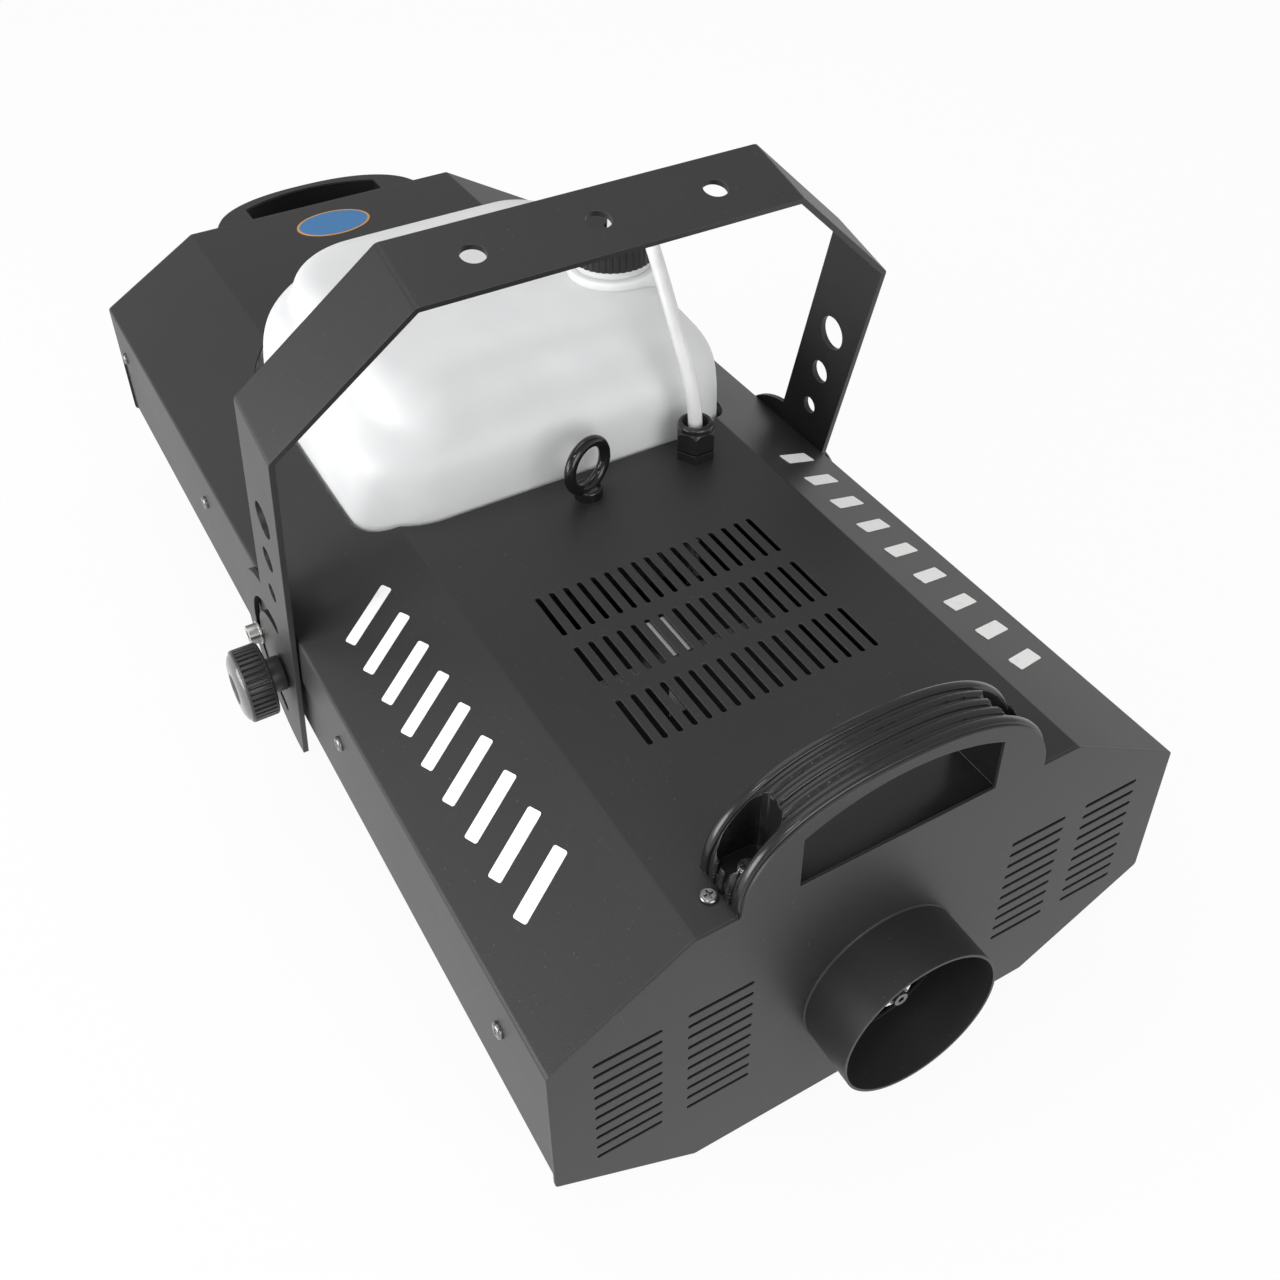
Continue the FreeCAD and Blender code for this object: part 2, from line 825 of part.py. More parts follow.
def tank_cap():
    low = spot(neck_x, neck_y, cap_low)
    body = rod(cap_radius, low, along_z, cap_top - cap_low)
    rim = [edge for edge in body.Edges if abs(edge.CenterOfMass.z - foot_height - cap_top) < 0.01]
    body = body.makeFillet(2.0, rim)
    room = rod(neck_radius + thread_gap, low, along_z, neck_top + 0.3 - cap_low)
    hole = rod(hose_radius + thread_gap, low, along_z, 40)
    cutters = [room, hole]
    for index in range(cap_ribs):
        angle = 2 * math.pi * index / cap_ribs
        reach = cap_radius + cap_rib_radius * 0.35
        place = low + Vec(reach * math.cos(angle), reach * math.sin(angle), -1)
        cutters.append(rod(cap_rib_radius, place, along_z, cap_top - cap_low - 2))
    return without(body, cutters)


def pickup_filter():
    """Strainer on the lower end of the hose, inside the tank."""
    end = hose_route[0]
    low = spot(end[0], end[1], end[2] - filter_long)
    return pipe(filter_radius, filter_bore, low, along_z, filter_long)


def tank_well():
    """Sheet tray under the opening in the cover; its rim meets the cover's underside."""
    low = tank_floor - tray_sheet
    outer = tank_block(tank_gap + tray_sheet, low, body_height)
    inner = tank_block(tank_gap, tank_floor, body_height + 1)
    return outer.cut(inner).common(tunnel(cover_sheet + 0.3, tank_front - 60, tank_front + tank_length + 60))


def well_brackets():
    brackets = []
    low = cover_sheet + sheet_gap + tray_sheet
    high = tank_floor - tray_sheet
    half = 70.0
    for share in (0.25, 0.75):
        middle = tank_front + tank_length * share
        feet = [box(side * half - 14, side * half + 14, middle - 12, middle + 12, low, low + 1.5) for side in (-1, 1)]
        legs = [box(side * half - 0.75, side * half + 0.75, middle - 12, middle + 12, low, high) for side in (-1, 1)]
        bridge = box(-half - 0.75, half + 0.75, middle - 12, middle + 12, high - 1.5, high)
        brackets.append(joined(feet + legs + [bridge]))
    return brackets


# ---- hose, gland and pump ----

def bent_tube(route, radius):
    """Round tube along straight runs joined by arcs, and the radii of those arcs."""
    points = [spot(*entry) for entry in route]
    edges = []
    radii = []
    start = points[0]
    for index in range(1, len(points) - 1):
        here = points[index]
        back = points[index - 1] - here
        ahead = points[index + 1] - here
        reach = bend_share * min(back.Length, ahead.Length)
        back_unit = Vec(back).normalize()
        ahead_unit = Vec(ahead).normalize()
        half_angle = back_unit.getAngle(ahead_unit) / 2
        bend = reach * math.tan(half_angle)
        middle = here + (back_unit + ahead_unit).normalize() * (bend / math.sin(half_angle) - bend)
        arc_start = here + back_unit * reach
        arc_end = here + ahead_unit * reach
        edges.append(Part.LineSegment(start, arc_start).toShape())
        edges.append(Part.Arc(arc_start, middle, arc_end).toShape())
        radii.append(bend)
        start = arc_end
    edges.append(Part.LineSegment(start, points[-1]).toShape())
    path = Part.Wire(edges)
    direction = (points[1] - points[0]).normalize()
    section = Part.Wire([Part.Circle(points[0], direction, radius).toShape()])
    return path.makePipeShell([section], True, True), path.Length, radii


def suction_hose():
    tube, length, radii = bent_tube(hose_route, hose_radius)
    expected = math.pi * hose_radius ** 2 * length
    print("hose length %.1f, volume %.0f of %.0f" % (length, tube.Volume, expected))
    print("hose radii " + ", ".join("%.0f" % radius for radius in radii))
    return tube


def gland_body():
    base = spot(gland_x, gland_y, body_height)
    flange = hexagon(gland_across, base, along_z, gland_base_high)
    thread = rod(gland_thread_radius, base - along_z * gland_thread_long, along_z, gland_thread_long)
    spigot = rod(gland_thread_radius - 1, base, along_z, gland_base_high + gland_nut_high - 4)
    bore = rod(hose_radius + fit_gap, base - along_z * 30, along_z, 80)
    return joined([flange, thread, spigot]).cut(bore)


def gland_nut():
    """Hexagon nut with a round shoulder and an open mouth about the hose."""
    base = spot(gland_x, gland_y, body_height + gland_base_high + 1.0)
    flat = gland_across / 2
    bar = hexagon(gland_across, base, along_z, gland_nut_high)
    bar = bar.common(Part.makeCone(flat + 7, flat + 0.2, gland_nut_high, base, along_z))
    dome = rod(flat - 0.1, base, along_z, gland_nut_high + gland_dome_high)
    top = base + along_z * (gland_nut_high + gland_dome_high)
    rim = [edge for edge in dome.Edges if abs(edge.CenterOfMass.z - top.z) < 0.01]
    dome = dome.makeFillet(gland_dome_high * 0.5, rim)
    room = rod(gland_thread_radius - 1 + fit_gap, base, along_z, gland_nut_high - 4)
    bore = rod(hose_radius + fit_gap, base, along_z, gland_nut_high + gland_dome_high)
    mouth_start = top - along_z * gland_mouth_deep
    mouth = Part.makeCone(hose_radius + 1, gland_mouth_radius, gland_mouth_deep, mouth_start, along_z)
    return without(joined([bar, dome]), [room, bore, mouth])


def gland_locknut():
    low = body_height - cover_sheet - 5
    bar = hexagon(gland_across + 2, spot(gland_x, gland_y, low), along_z, 5)
    return bar.cut(rod(gland_thread_radius, spot(gland_x, gland_y, low), along_z, 5))


def pump_box(low, high, margin=0.0):
    return box(gland_x - pump_width / 2 + margin, gland_x + pump_width / 2 - margin,
               pump_y - pump_length / 2 + margin, pump_y + pump_length / 2 - margin, low, high)


def pump_body():
    body = pump_box(pump_low, pump_high)
    upright = [edge for edge in body.Edges if abs(edge.Length - pump_high + pump_low) < 0.01]
    body = body.makeFillet(4, upright)
    hose_end = hose_route[-1]
    inlet = rod(hose_radius + 1, spot(hose_end[0], hose_end[1], pump_high), along_z, hose_end[2] - pump_high)
    front = pump_y - pump_length / 2
    outlet = hexagon(10, spot(pump_pipe_x, front - 6, pump_pipe_height), along_y, 6)
    pipe_end = rod(pump_pipe_radius, spot(pump_pipe_x, front - 7, pump_pipe_height), along_y, 5)
    return joined([body, inlet, outlet]).cut(pipe_end)


def pump_pads():
    low = cover_sheet + sheet_gap + tray_sheet
    pads = []
    for side_x in (-1, 1):
        for side_y in (-1, 1):
            x = gland_x + side_x * (pump_width / 2 - 9)
            pads.append(rod(6, spot(x, pump_y + side_y * (pump_length / 2 - 9), low), along_z, pump_low - low))
    return pads


def feed_pipe():
    start = block_front + block_length - 12
    end = pump_y - pump_length / 2 - 2
    return pipe(pump_pipe_radius, 1.5, spot(pump_pipe_x, start, pump_pipe_height), along_y, end - start)


# ---- lifting eye ----

def eye_bolt():
    base = spot(0, eye_y, body_height)
    turn = math.radians(eye_turn)
    facing = Vec(-math.sin(turn), math.cos(turn), 0)
    ring = Part.makeTorus(eye_ring_radius, eye_ring_thick, base + along_z * eye_ring_height, facing)
    collar = rod(eye_collar_radius, base, along_z, eye_collar_high)
    rim = [edge for edge in collar.Edges if abs(edge.CenterOfMass.z - base.z - eye_collar_high) < 0.01]
    collar = collar.makeFillet(1.5, rim)
    thread = rod(eye_thread_radius, base - along_z * eye_thread_long, along_z, eye_thread_long)
    return joined([ring, collar, thread])


def eye_nut():
    low = spot(0, eye_y, body_height - cover_sheet - 5)
    return hexagon(10, low, along_z, 5).cut(rod(eye_thread_radius, low, along_z, 5))


# ---- yoke ----

def in_place(shape):
    """Tilt a yoke piece, drawn upright with its pivot at the origin, and move it to the pivot."""
    placed = shape.copy()
    placed.rotate(Vec(0, 0, 0), along_x, yoke_rest_tilt)
    placed.translate(spot(0, pivot_y, pivot_height))
    return placed


def slot_cutter():
    """Curved slot about the pivot, on the rear side of a leg, reaching across both legs."""
    outer = slot_radius + slot_width / 2
    inner = slot_radius - slot_width / 2
    start = Vec(-leg_outer - 5, 0, 0)
    length = 2 * leg_outer + 10
    ring = pipe(outer, inner, start, along_x, length)
    reach = outer + 5
    points = [start]
    for index in range(5):
        angle = math.radians(slot_half_angle * (index - 2) / 2)
        points.append(start + Vec(0, reach / math.cos(math.radians(slot_half_angle / 4)) * math.cos(angle),
                                  reach / math.cos(math.radians(slot_half_angle / 4)) * math.sin(angle)))
    sector = Part.Face(Part.makePolygon(points + points[:1])).extrude(along_x * length)
    cutters = [ring.common(sector)]
    for side in (-1, 1):
        angle = math.radians(side * slot_half_angle)
        place = start + Vec(0, slot_radius * math.cos(angle), slot_radius * math.sin(angle))
        cutters.append(rod(slot_width / 2, place, along_x, length))
    return cutters


def yoke():
    half = yoke_strip / 2
    outline = [
        (-leg_outer, -yoke_reach), (leg_outer, -yoke_reach), (leg_outer, yoke_knee),
        (yoke_bar_half, yoke_reach), (-yoke_bar_half, yoke_reach), (-leg_outer, yoke_knee),
    ]
    outer = round_cornered(outline, yoke_sheet + 1.0, at_y(-half))
    inner = round_cornered(inset(outline, yoke_sheet), 1.0, at_y(-half))
    strip = outer.extrude(Vec(0, yoke_strip, 0)).cut(inner.extrude(Vec(0, yoke_strip, 0)))
    below = Part.makeBox(3 * leg_outer, 3 * half, 2 * yoke_reach, Vec(-1.5 * leg_outer, -1.5 * half, -2 * yoke_reach))
    pieces = [strip.cut(below)]
    front_cut = Part.makeBox(3 * leg_outer, lobe_radius, 3 * lobe_radius,
                             Vec(-1.5 * leg_outer, -half - lobe_radius, -1.5 * lobe_radius))
    for side in (-1, 1):
        disc = rod(lobe_radius, Vec(side * leg_inner, 0, 0), along_x * side, yoke_sheet)
        pieces.append(disc.cut(front_cut))
    body = joined(pieces)
    span = 2 * leg_outer + 10
    start = Vec(-leg_outer - 5, 0, 0)
    cutters = slot_cutter() + [rod(stud_radius + running_gap, start, along_x, span)]
    for height, radius in leg_holes:
        cutters.append(rod(radius, start + along_z * height, along_x, span))
    for index in (-1, 0, 1):
        place = Vec(index * bar_hole_spacing, 0, yoke_reach - 10)
        cutters.append(rod(bar_hole_radius, place, along_z, 20))
    return in_place(without(body, cutters))


def right_knob():
    """Fluted knob with its hub and stud, drawn on the +X side."""
    inner_face = leg_outer + knob_inner_reach
    centre = spot(0, pivot_y, pivot_height)
    body = rod(knob_radius, centre + along_x * inner_face, along_x, knob_thick - knob_dome)
    rim = [edge for edge in body.Edges if abs(edge.CenterOfMass.x - inner_face) < 0.01]
    body = body.makeFillet(2.0, rim)
    cutters = []
    for index in range(knob_flutes):
        angle = 2 * math.pi * index / knob_flutes
        reach = knob_radius + knob_flute_radius * 0.3
        place = centre + Vec(inner_face - 1, reach * math.cos(angle), reach * math.sin(angle))
        cutters.append(rod(knob_flute_radius, place, along_x, knob_thick - knob_dome))
    body = without(body, cutters)
    dome_base = centre + along_x * (inner_face + knob_thick - knob_dome)
    dome = Part.makeCone(knob_radius, knob_radius - knob_dome * 2, knob_dome, dome_base, along_x)
    dish = rod(knob_radius * 0.42, dome_base + along_x * (knob_dome - 1.0), along_x, 5)
    hub_start = leg_outer + 0.3
    hub = rod(hub_radius, centre + along_x * hub_start, along_x, inner_face - hub_start)
    stud_start = half_width - 20
    stud = rod(stud_radius, centre + along_x * stud_start, along_x, hub_start - stud_start)
    return joined([body, dome.cut(dish), hub, stud])


def pivot_washers():
    """Fibre washers that fill the gap between the tray's wall and each leg."""
    skin = cover_sheet + sheet_gap
    washers = []
    for side in (-1, 1):
        start = spot(side * (half_width - skin), pivot_y, pivot_height)
        length = skin + yoke_gap - 0.3
        washers.append(pipe(washer_radius, stud_radius + 0.5, start, along_x * side, length))
    return washers


def pivot_plates():
    """Stiffening plates inside the tray's walls, with the nuts welded on."""
    skin = cover_sheet + sheet_gap + tray_sheet
    plates = []
    for side in (-1, 1):
        outer = half_width - skin
        low = min(side * outer, side * (outer - yoke_sheet))
        plate = box(low, low + yoke_sheet, pivot_y - 28, pivot_y + 52, side_low + 6, side_high - 14)
        nut = hexagon(17, spot(side * (outer - yoke_sheet), pivot_y, pivot_height), along_x * side * -1, 8)
        lock_nut = hexagon(13, lock_point(side) - along_x * side * (skin + yoke_sheet), along_x * side * -1, 6)
        body = joined([plate, nut, lock_nut])
        cutters = pivot_holes(stud_radius + running_gap) + lock_holes(lock_thread_radius)
        plates.append(without(body, cutters))
    return plates


def lock_screws():
    """Socket screws through the curved slots of the legs."""
    screws = []
    for side in (-1, 1):
        outward = along_x * side
        seat = lock_point(side) + outward * (leg_outer + 0.3 - half_width)
        head = rod(lock_head_radius, seat + outward * lock_washer_thick, outward, lock_head_high)
        washer = rod(lock_washer_radius, seat, outward, lock_washer_thick)
        shank_start = lock_point(side) - outward * 14
        shank = rod(lock_thread_radius, shank_start, outward, leg_outer + 1 - half_width + 14)
        socket_start = seat + outward * (lock_washer_thick + lock_head_high - lock_socket_deep)
        socket = hexagon(lock_socket_across, socket_start, outward, lock_socket_deep + 1)
        screws.append(joined([head, washer, shank]).cut(socket))
    return screws


# ---- electronics and rear connections ----

def control_board():
    return box(-70, 40, tank_front + tank_length + 28, body_length - 50, 20, 21.6)


def board_posts():
    low = cover_sheet + sheet_gap + tray_sheet
    posts = []
    for x in (-64, 34):
        for distance in (tank_front + tank_length + 34, body_length - 56):
            posts.append(rod(3, spot(x, distance, low), along_z, 20 - low))
    return posts


def board_parts():
    front = tank_front + tank_length + 36
    relay = box(-60, -32, front, front + 20, 21.6, 40)
    transformer = box(-20, 22, front + 4, front + 38, 21.6, 50)
    capacitor = rod(8, spot(-44, front + 34, 21.6), along_z, 26)
    sink = box(-28, -24, front, front + 34, 21.6, 56)
    return [relay, transformer, capacitor, sink]


def terminal_block():
    low = cover_sheet + sheet_gap + tray_sheet
    front = body_length - 140
    base = box(55, 85, front, front + 50, low, low + 22)
    slots = [box(50, 90, front + 9 + 12 * index, front + 11 + 12 * index, low + 14, low + 30)
             for index in range(4)]
    return without(base, slots)


def power_inlet():
    """Male appliance inlet; its shroud opens to the rear."""
    flange = box(inlet_x - inlet_width / 2, inlet_x + inlet_width / 2, body_length, body_length + 3,
                 port_height - inlet_high / 2, port_height + inlet_high / 2)
    body = box(inlet_x - inlet_width / 2 + 5, inlet_x + inlet_width / 2 - 5, body_length - inlet_depth, body_length + 3,
               port_height - inlet_high / 2 + 2, port_height + inlet_high / 2 - 2)
    mouth = box(inlet_x - 15, inlet_x + 15, body_length - 20, body_length + 4, port_height - 9, port_height + 9)
    pins = [box(inlet_x + shift - 1, inlet_x + shift + 1, body_length - 22, body_length - 2,
                port_height + lift - 3.5, port_height + lift + 3.5)
            for shift, lift in ((-8, -2), (0, 3), (8, -2))]
    return joined([joined([flange, body]).cut(mouth)] + pins)


def fuse_holder():
    nut = hexagon(18, spot(fuse_x, body_length - panel_sheet, port_height), along_y * -1, 4)
    barrel = rod(fuse_radius, spot(fuse_x, body_length - 30, port_height), along_y, 30)
    rim = rod(fuse_cap_radius, spot(fuse_x, body_length, port_height), along_y, 2)
    room = rod(fuse_bore, spot(fuse_x, body_length - 26, port_height), along_y, 40)
    return joined([nut, barrel, rim]).cut(room)


def fuse_cap():
    start = body_length + 2.3
    cap = rod(fuse_cap_radius, spot(fuse_x, start, port_height), along_y, fuse_cap_long)
    stem = rod(fuse_bore - thread_gap, spot(fuse_x, start - 12, port_height), along_y, 12)
    groove = box(fuse_x - 6, fuse_x + 6, start + fuse_cap_long - 2, start + fuse_cap_long + 1,
                 port_height - 0.8, port_height + 0.8)
    return joined([cap, stem]).cut(groove)


def switch_frame():
    flange = box(switch_x - switch_width / 2 - 2, switch_x + switch_width / 2 + 2, body_length, body_length + 2,
                 port_height - switch_high / 2 - 2, port_height + switch_high / 2 + 2)
    body = box(switch_x - switch_width / 2, switch_x + switch_width / 2, body_length - switch_depth, body_length + 2,
               port_height - switch_high / 2, port_height + switch_high / 2)
    room = box(switch_x - switch_width / 2 + switch_wall, switch_x + switch_width / 2 - switch_wall,
               body_length - switch_depth + 3, body_length + 3,
               port_height - switch_high / 2 + switch_wall, port_height + switch_high / 2 - switch_wall)
    axle_hole = rod(1.5 + running_gap, spot(switch_x - switch_width / 2 - 1, body_length - 4, port_height), along_x,
                    switch_width + 2)
    return joined([flange, body]).cut(room).cut(axle_hole)


def rocker():
    """Rocker with its axle, pressed in at the lower end by half its throw."""
    half = switch_width / 2 - switch_wall - 0.4
    tall = switch_high / 2 - switch_wall - 1.2
    outline = [Vec(-half, -4, -tall), Vec(-half, 5, -tall), Vec(-half, 2.5, 0), Vec(-half, 5, tall),
               Vec(-half, -4, tall)]
    body = Part.Face(Part.makePolygon(outline + outline[:1])).extrude(Vec(2 * half, 0, 0))
    axle = rod(1.5, Vec(-switch_width / 2 + 0.5, 0, 0), along_x, switch_width - 1)
    piece = joined([body, axle])
    piece.rotate(Vec(0, 0, 0), along_x, -rocker_throw)
    piece.translate(spot(switch_x, body_length - 4, port_height))
    return piece


def round_socket(x, contacts):
    """Panel socket with a ring of contact holes."""
    shell = rod(socket_radius, spot(x, body_length - 16, port_height), along_y, 16)
    flange = box(x - 15, x + 15, body_length, body_length + 2, port_height - 17, port_height + 17)
    groove = pipe(socket_radius - 2, socket_radius - 3.5, spot(x, body_length - 8, port_height), along_y, 12)
    cutters = [groove]
    for index in range(contacts):
        angle = 2 * math.pi * (index + 0.25) / contacts
        place = spot(x + 4.5 * math.cos(angle), body_length - 8, port_height + 4.5 * math.sin(angle))
        cutters.append(rod(1.2, place, along_y, 12))
    return without(joined([shell, flange]), cutters)


def build():
    os.makedirs("parts", exist_ok=True)
    save("bottom_tray", bottom_tray())
    save("top_cover", top_cover())
    save("front_panel", front_panel())
    save("rear_panel", rear_panel())
    save("front_grip", front_grip())
    save("rear_grip", rear_grip())
    save("handle_screws", handle_screws())
    save("cover_screws", cover_screws())
    save("rubber_feet", rubber_feet())
    save("foot_screws", foot_screws())
    save("nozzle_shroud", nozzle_shroud())
    save("nozzle_tip", nozzle_tip())
    save("nozzle_ring", nozzle_ring())
    save("steam_pipe", steam_pipe())
    save("heater_block", heater_block())
    save("heater_elements", heater_elements())
    save("heater_lagging", heater_lagging())
    save("heater_case", heater_case())
    save("heater_straps", heater_straps())
    save("heater_legs", heater_legs())
    save("thermostat", thermostat())
    save("thermal_fuse", thermal_fuse())
    save("cover_stay", cover_stay())
    save("fluid_tank", fluid_tank())
    save("tank_cap", tank_cap())
    save("pickup_filter", pickup_filter())
    save("tank_well", tank_well())
    save("well_brackets", well_brackets())
    save("suction_hose", suction_hose())
    save("gland_body", gland_body())
    save("gland_nut", gland_nut())
    save("gland_locknut", gland_locknut())
    save("pump_body", pump_body())
    save("pump_pads", pump_pads())
    save("feed_pipe", feed_pipe())
    save("eye_bolt", eye_bolt())
    save("eye_nut", eye_nut())
    save("yoke", yoke())
    save("right_knob", right_knob())
    save("left_knob", mirrored(right_knob()))
    save("pivot_washers", pivot_washers())
    save("pivot_plates", pivot_plates())
    save("lock_screws", lock_screws())
    save("control_board", control_board())
    save("board_posts", board_posts())
    save("board_parts", board_parts())
    save("terminal_block", terminal_block())
    save("power_inlet", power_inlet())
    save("fuse_holder", fuse_holder())
    save("fuse_cap", fuse_cap())
    save("switch_frame", switch_frame())
    save("rocker", rocker())
    save("remote_socket", round_socket(remote_x, 3))
    save("signal_socket", round_socket(signal_x, 5))
    print("front face at y %.1f, rear face at y %.1f" % (front_y, rear_y))


build()
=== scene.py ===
import json
import math
import bmesh
import bpy
from mathutils import Matrix, Vector

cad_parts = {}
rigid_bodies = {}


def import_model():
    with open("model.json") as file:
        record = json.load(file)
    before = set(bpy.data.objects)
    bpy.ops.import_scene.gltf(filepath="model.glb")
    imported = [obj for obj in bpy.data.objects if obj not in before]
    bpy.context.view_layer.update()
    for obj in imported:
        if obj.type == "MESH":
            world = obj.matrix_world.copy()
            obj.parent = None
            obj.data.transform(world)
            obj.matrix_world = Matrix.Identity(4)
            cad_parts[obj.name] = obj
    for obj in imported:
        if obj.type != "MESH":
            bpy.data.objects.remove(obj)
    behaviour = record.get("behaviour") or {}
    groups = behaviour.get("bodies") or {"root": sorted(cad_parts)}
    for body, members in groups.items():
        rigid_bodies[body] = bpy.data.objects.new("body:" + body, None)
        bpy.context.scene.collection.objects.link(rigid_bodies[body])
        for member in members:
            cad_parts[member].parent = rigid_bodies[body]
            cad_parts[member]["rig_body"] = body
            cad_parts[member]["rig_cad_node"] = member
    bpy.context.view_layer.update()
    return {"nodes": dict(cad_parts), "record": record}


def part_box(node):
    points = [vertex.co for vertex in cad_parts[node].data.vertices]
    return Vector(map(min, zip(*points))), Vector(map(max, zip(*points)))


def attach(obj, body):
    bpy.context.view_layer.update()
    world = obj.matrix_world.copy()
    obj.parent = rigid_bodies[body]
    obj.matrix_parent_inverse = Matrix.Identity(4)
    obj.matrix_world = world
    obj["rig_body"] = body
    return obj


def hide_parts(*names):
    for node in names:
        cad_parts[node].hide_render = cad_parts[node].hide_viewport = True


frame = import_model()
nodes = frame["nodes"]
print("frame loaded:", len(nodes), "nodes")

hair = 0.0001                            # metres; closer than this counts as the same place
datumDrop = 0.0014                       # heights start this far under the tray
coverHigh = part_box("top_cover")[1]
case = {                                 # where the case lies, read off the frame
    "front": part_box("front_panel")[0].y,
    "floor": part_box("bottom_tray")[0].z - datumDrop,
    "top": coverHigh.z,
    "halfWidth": coverHigh.x,
    "halfTop": 0.098,
    "bendHeight": 121.0,                 # millimetres, of the upper side bend over the underside
}


def place(x, fromFront, height):         # millimetres from the front face and the underside
    return Vector((x / 1000, case["front"] + fromFront / 1000, case["floor"] + height / 1000))


def pick(piece):
    bpy.ops.object.select_all(action="DESELECT")
    piece.select_set(True)
    bpy.context.view_layer.objects.active = piece


def begin(name):                         # names the primitive that was just added
    piece = bpy.context.active_object
    piece.name = name
    piece.data.name = name
    return piece


def chooseFaces(piece, test):            # edit mode only
    bpy.ops.mesh.select_mode(type="FACE")
    mesh = bmesh.from_edit_mesh(piece.data)
    for face in mesh.faces:
        face.select_set(bool(test(face)))
    mesh.select_flush_mode()
    bmesh.update_edit_mesh(piece.data)


def chooseEdges(piece, test):            # edit mode only
    bpy.ops.mesh.select_mode(type="EDGE")
    mesh = bmesh.from_edit_mesh(piece.data)
    for edge in mesh.edges:
        edge.select_set(bool(test(edge)))
    bmesh.update_edit_mesh(piece.data)


def chooseVerts(piece, test):            # edit mode only
    bpy.ops.mesh.select_mode(type="VERT")
    mesh = bmesh.from_edit_mesh(piece.data)
    for vert in mesh.verts:
        vert.select_set(bool(test(vert.co)))
    mesh.select_flush(True)
    bmesh.update_edit_mesh(piece.data)


def settle(piece):                       # puts place, turn and scale into the mesh
    pick(piece)
    bpy.ops.object.transform_apply(location=True, rotation=True, scale=True)


def modify(piece, kind, **values):
    pick(piece)
    modifier = piece.modifiers.new(kind.title(), kind)
    for key, value in values.items():
        setattr(modifier, key, value)
    bpy.ops.object.modifier_apply(modifier=modifier.name)


def facesOut(piece, mergeWithin=0.00001):
    pick(piece)
    bpy.ops.object.mode_set(mode="EDIT")
    bpy.ops.mesh.select_all(action="SELECT")
    bpy.ops.mesh.remove_doubles(threshold=mergeWithin)
    bpy.ops.mesh.normals_make_consistent(inside=False)
    bpy.ops.object.mode_set(mode="OBJECT")


def smooth(piece, degrees):
    pick(piece)
    bpy.ops.object.shade_smooth_by_angle(angle=math.radians(degrees))


def join(pieces, name):
    pick(pieces[0])
    for piece in pieces[1:]:
        piece.select_set(True)
    bpy.ops.object.join()
    return begin(name)


def twin(piece, name):                   # a copy with a mesh of its own
    pick(piece)
    bpy.ops.object.duplicate(linked=False)
    return begin(name)


def copyOfNode(node, name):              # a merged copy of a CAD node that can be worked on
    piece = twin(nodes[node], name)
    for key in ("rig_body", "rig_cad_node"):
        if key in piece:
            del piece[key]
    piece.parent = None
    pick(piece)
    bpy.ops.mesh.customdata_custom_splitnormals_clear()
    facesOut(piece)
    return piece


def cylinder(name, sides, radius, start, end):
    along = end - start
    turn = along.to_track_quat("Z", "Y").to_euler()
    bpy.ops.object.select_all(action="DESELECT")
    bpy.ops.mesh.primitive_cylinder_add(vertices=sides, radius=radius, depth=along.length,
                                        location=(start + end) / 2, rotation=turn)
    piece = begin(name)
    settle(piece)
    return piece


def isSharp(edge):
    return edge.calc_face_angle(0) > 1


def softenEdges(piece, test, width, steps=3):
    pick(piece)
    bpy.ops.object.mode_set(mode="EDIT")
    chooseEdges(piece, test)
    bpy.ops.mesh.bevel(offset=width, segments=steps, profile=0.5, affect="EDGES",
                       clamp_overlap=False)
    bpy.ops.object.mode_set(mode="OBJECT")


def pushOut(piece, test, moves):         # extrudes the chosen end, and scales it about a point
    pick(piece)
    bpy.ops.object.mode_set(mode="EDIT")
    chooseFaces(piece, test)
    for shift, scale, about in moves:
        bpy.ops.mesh.extrude_region_move(TRANSFORM_OT_translate={"value": shift})
        bpy.ops.transform.resize(value=scale, orient_type="GLOBAL", center_override=about)
    bpy.ops.object.mode_set(mode="OBJECT")


def finishPiece(piece, look, body, slot, *replaced):
    piece.data.materials.clear()
    piece.data.materials.append(look)
    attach(piece, body)
    if replaced:
        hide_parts(*replaced)


class Wire:                              # a socket that takes part in sums
    def __init__(self, recipe, socket):
        self.recipe = recipe
        self.socket = socket

    def math(self, operation, first, second):
        return self.recipe.add("ShaderNodeMath", {"operation": operation}, {0: first, 1: second})

    def __add__(self, other):
        return self.math("ADD", self, other)

    def __radd__(self, other):
        return self.math("ADD", other, self)

    def __sub__(self, other):
        return self.math("SUBTRACT", self, other)

    def __rsub__(self, other):
        return self.math("SUBTRACT", other, self)

    def __mul__(self, other):
        return self.math("MULTIPLY", self, other)

    def __rmul__(self, other):
        return self.math("MULTIPLY", other, self)


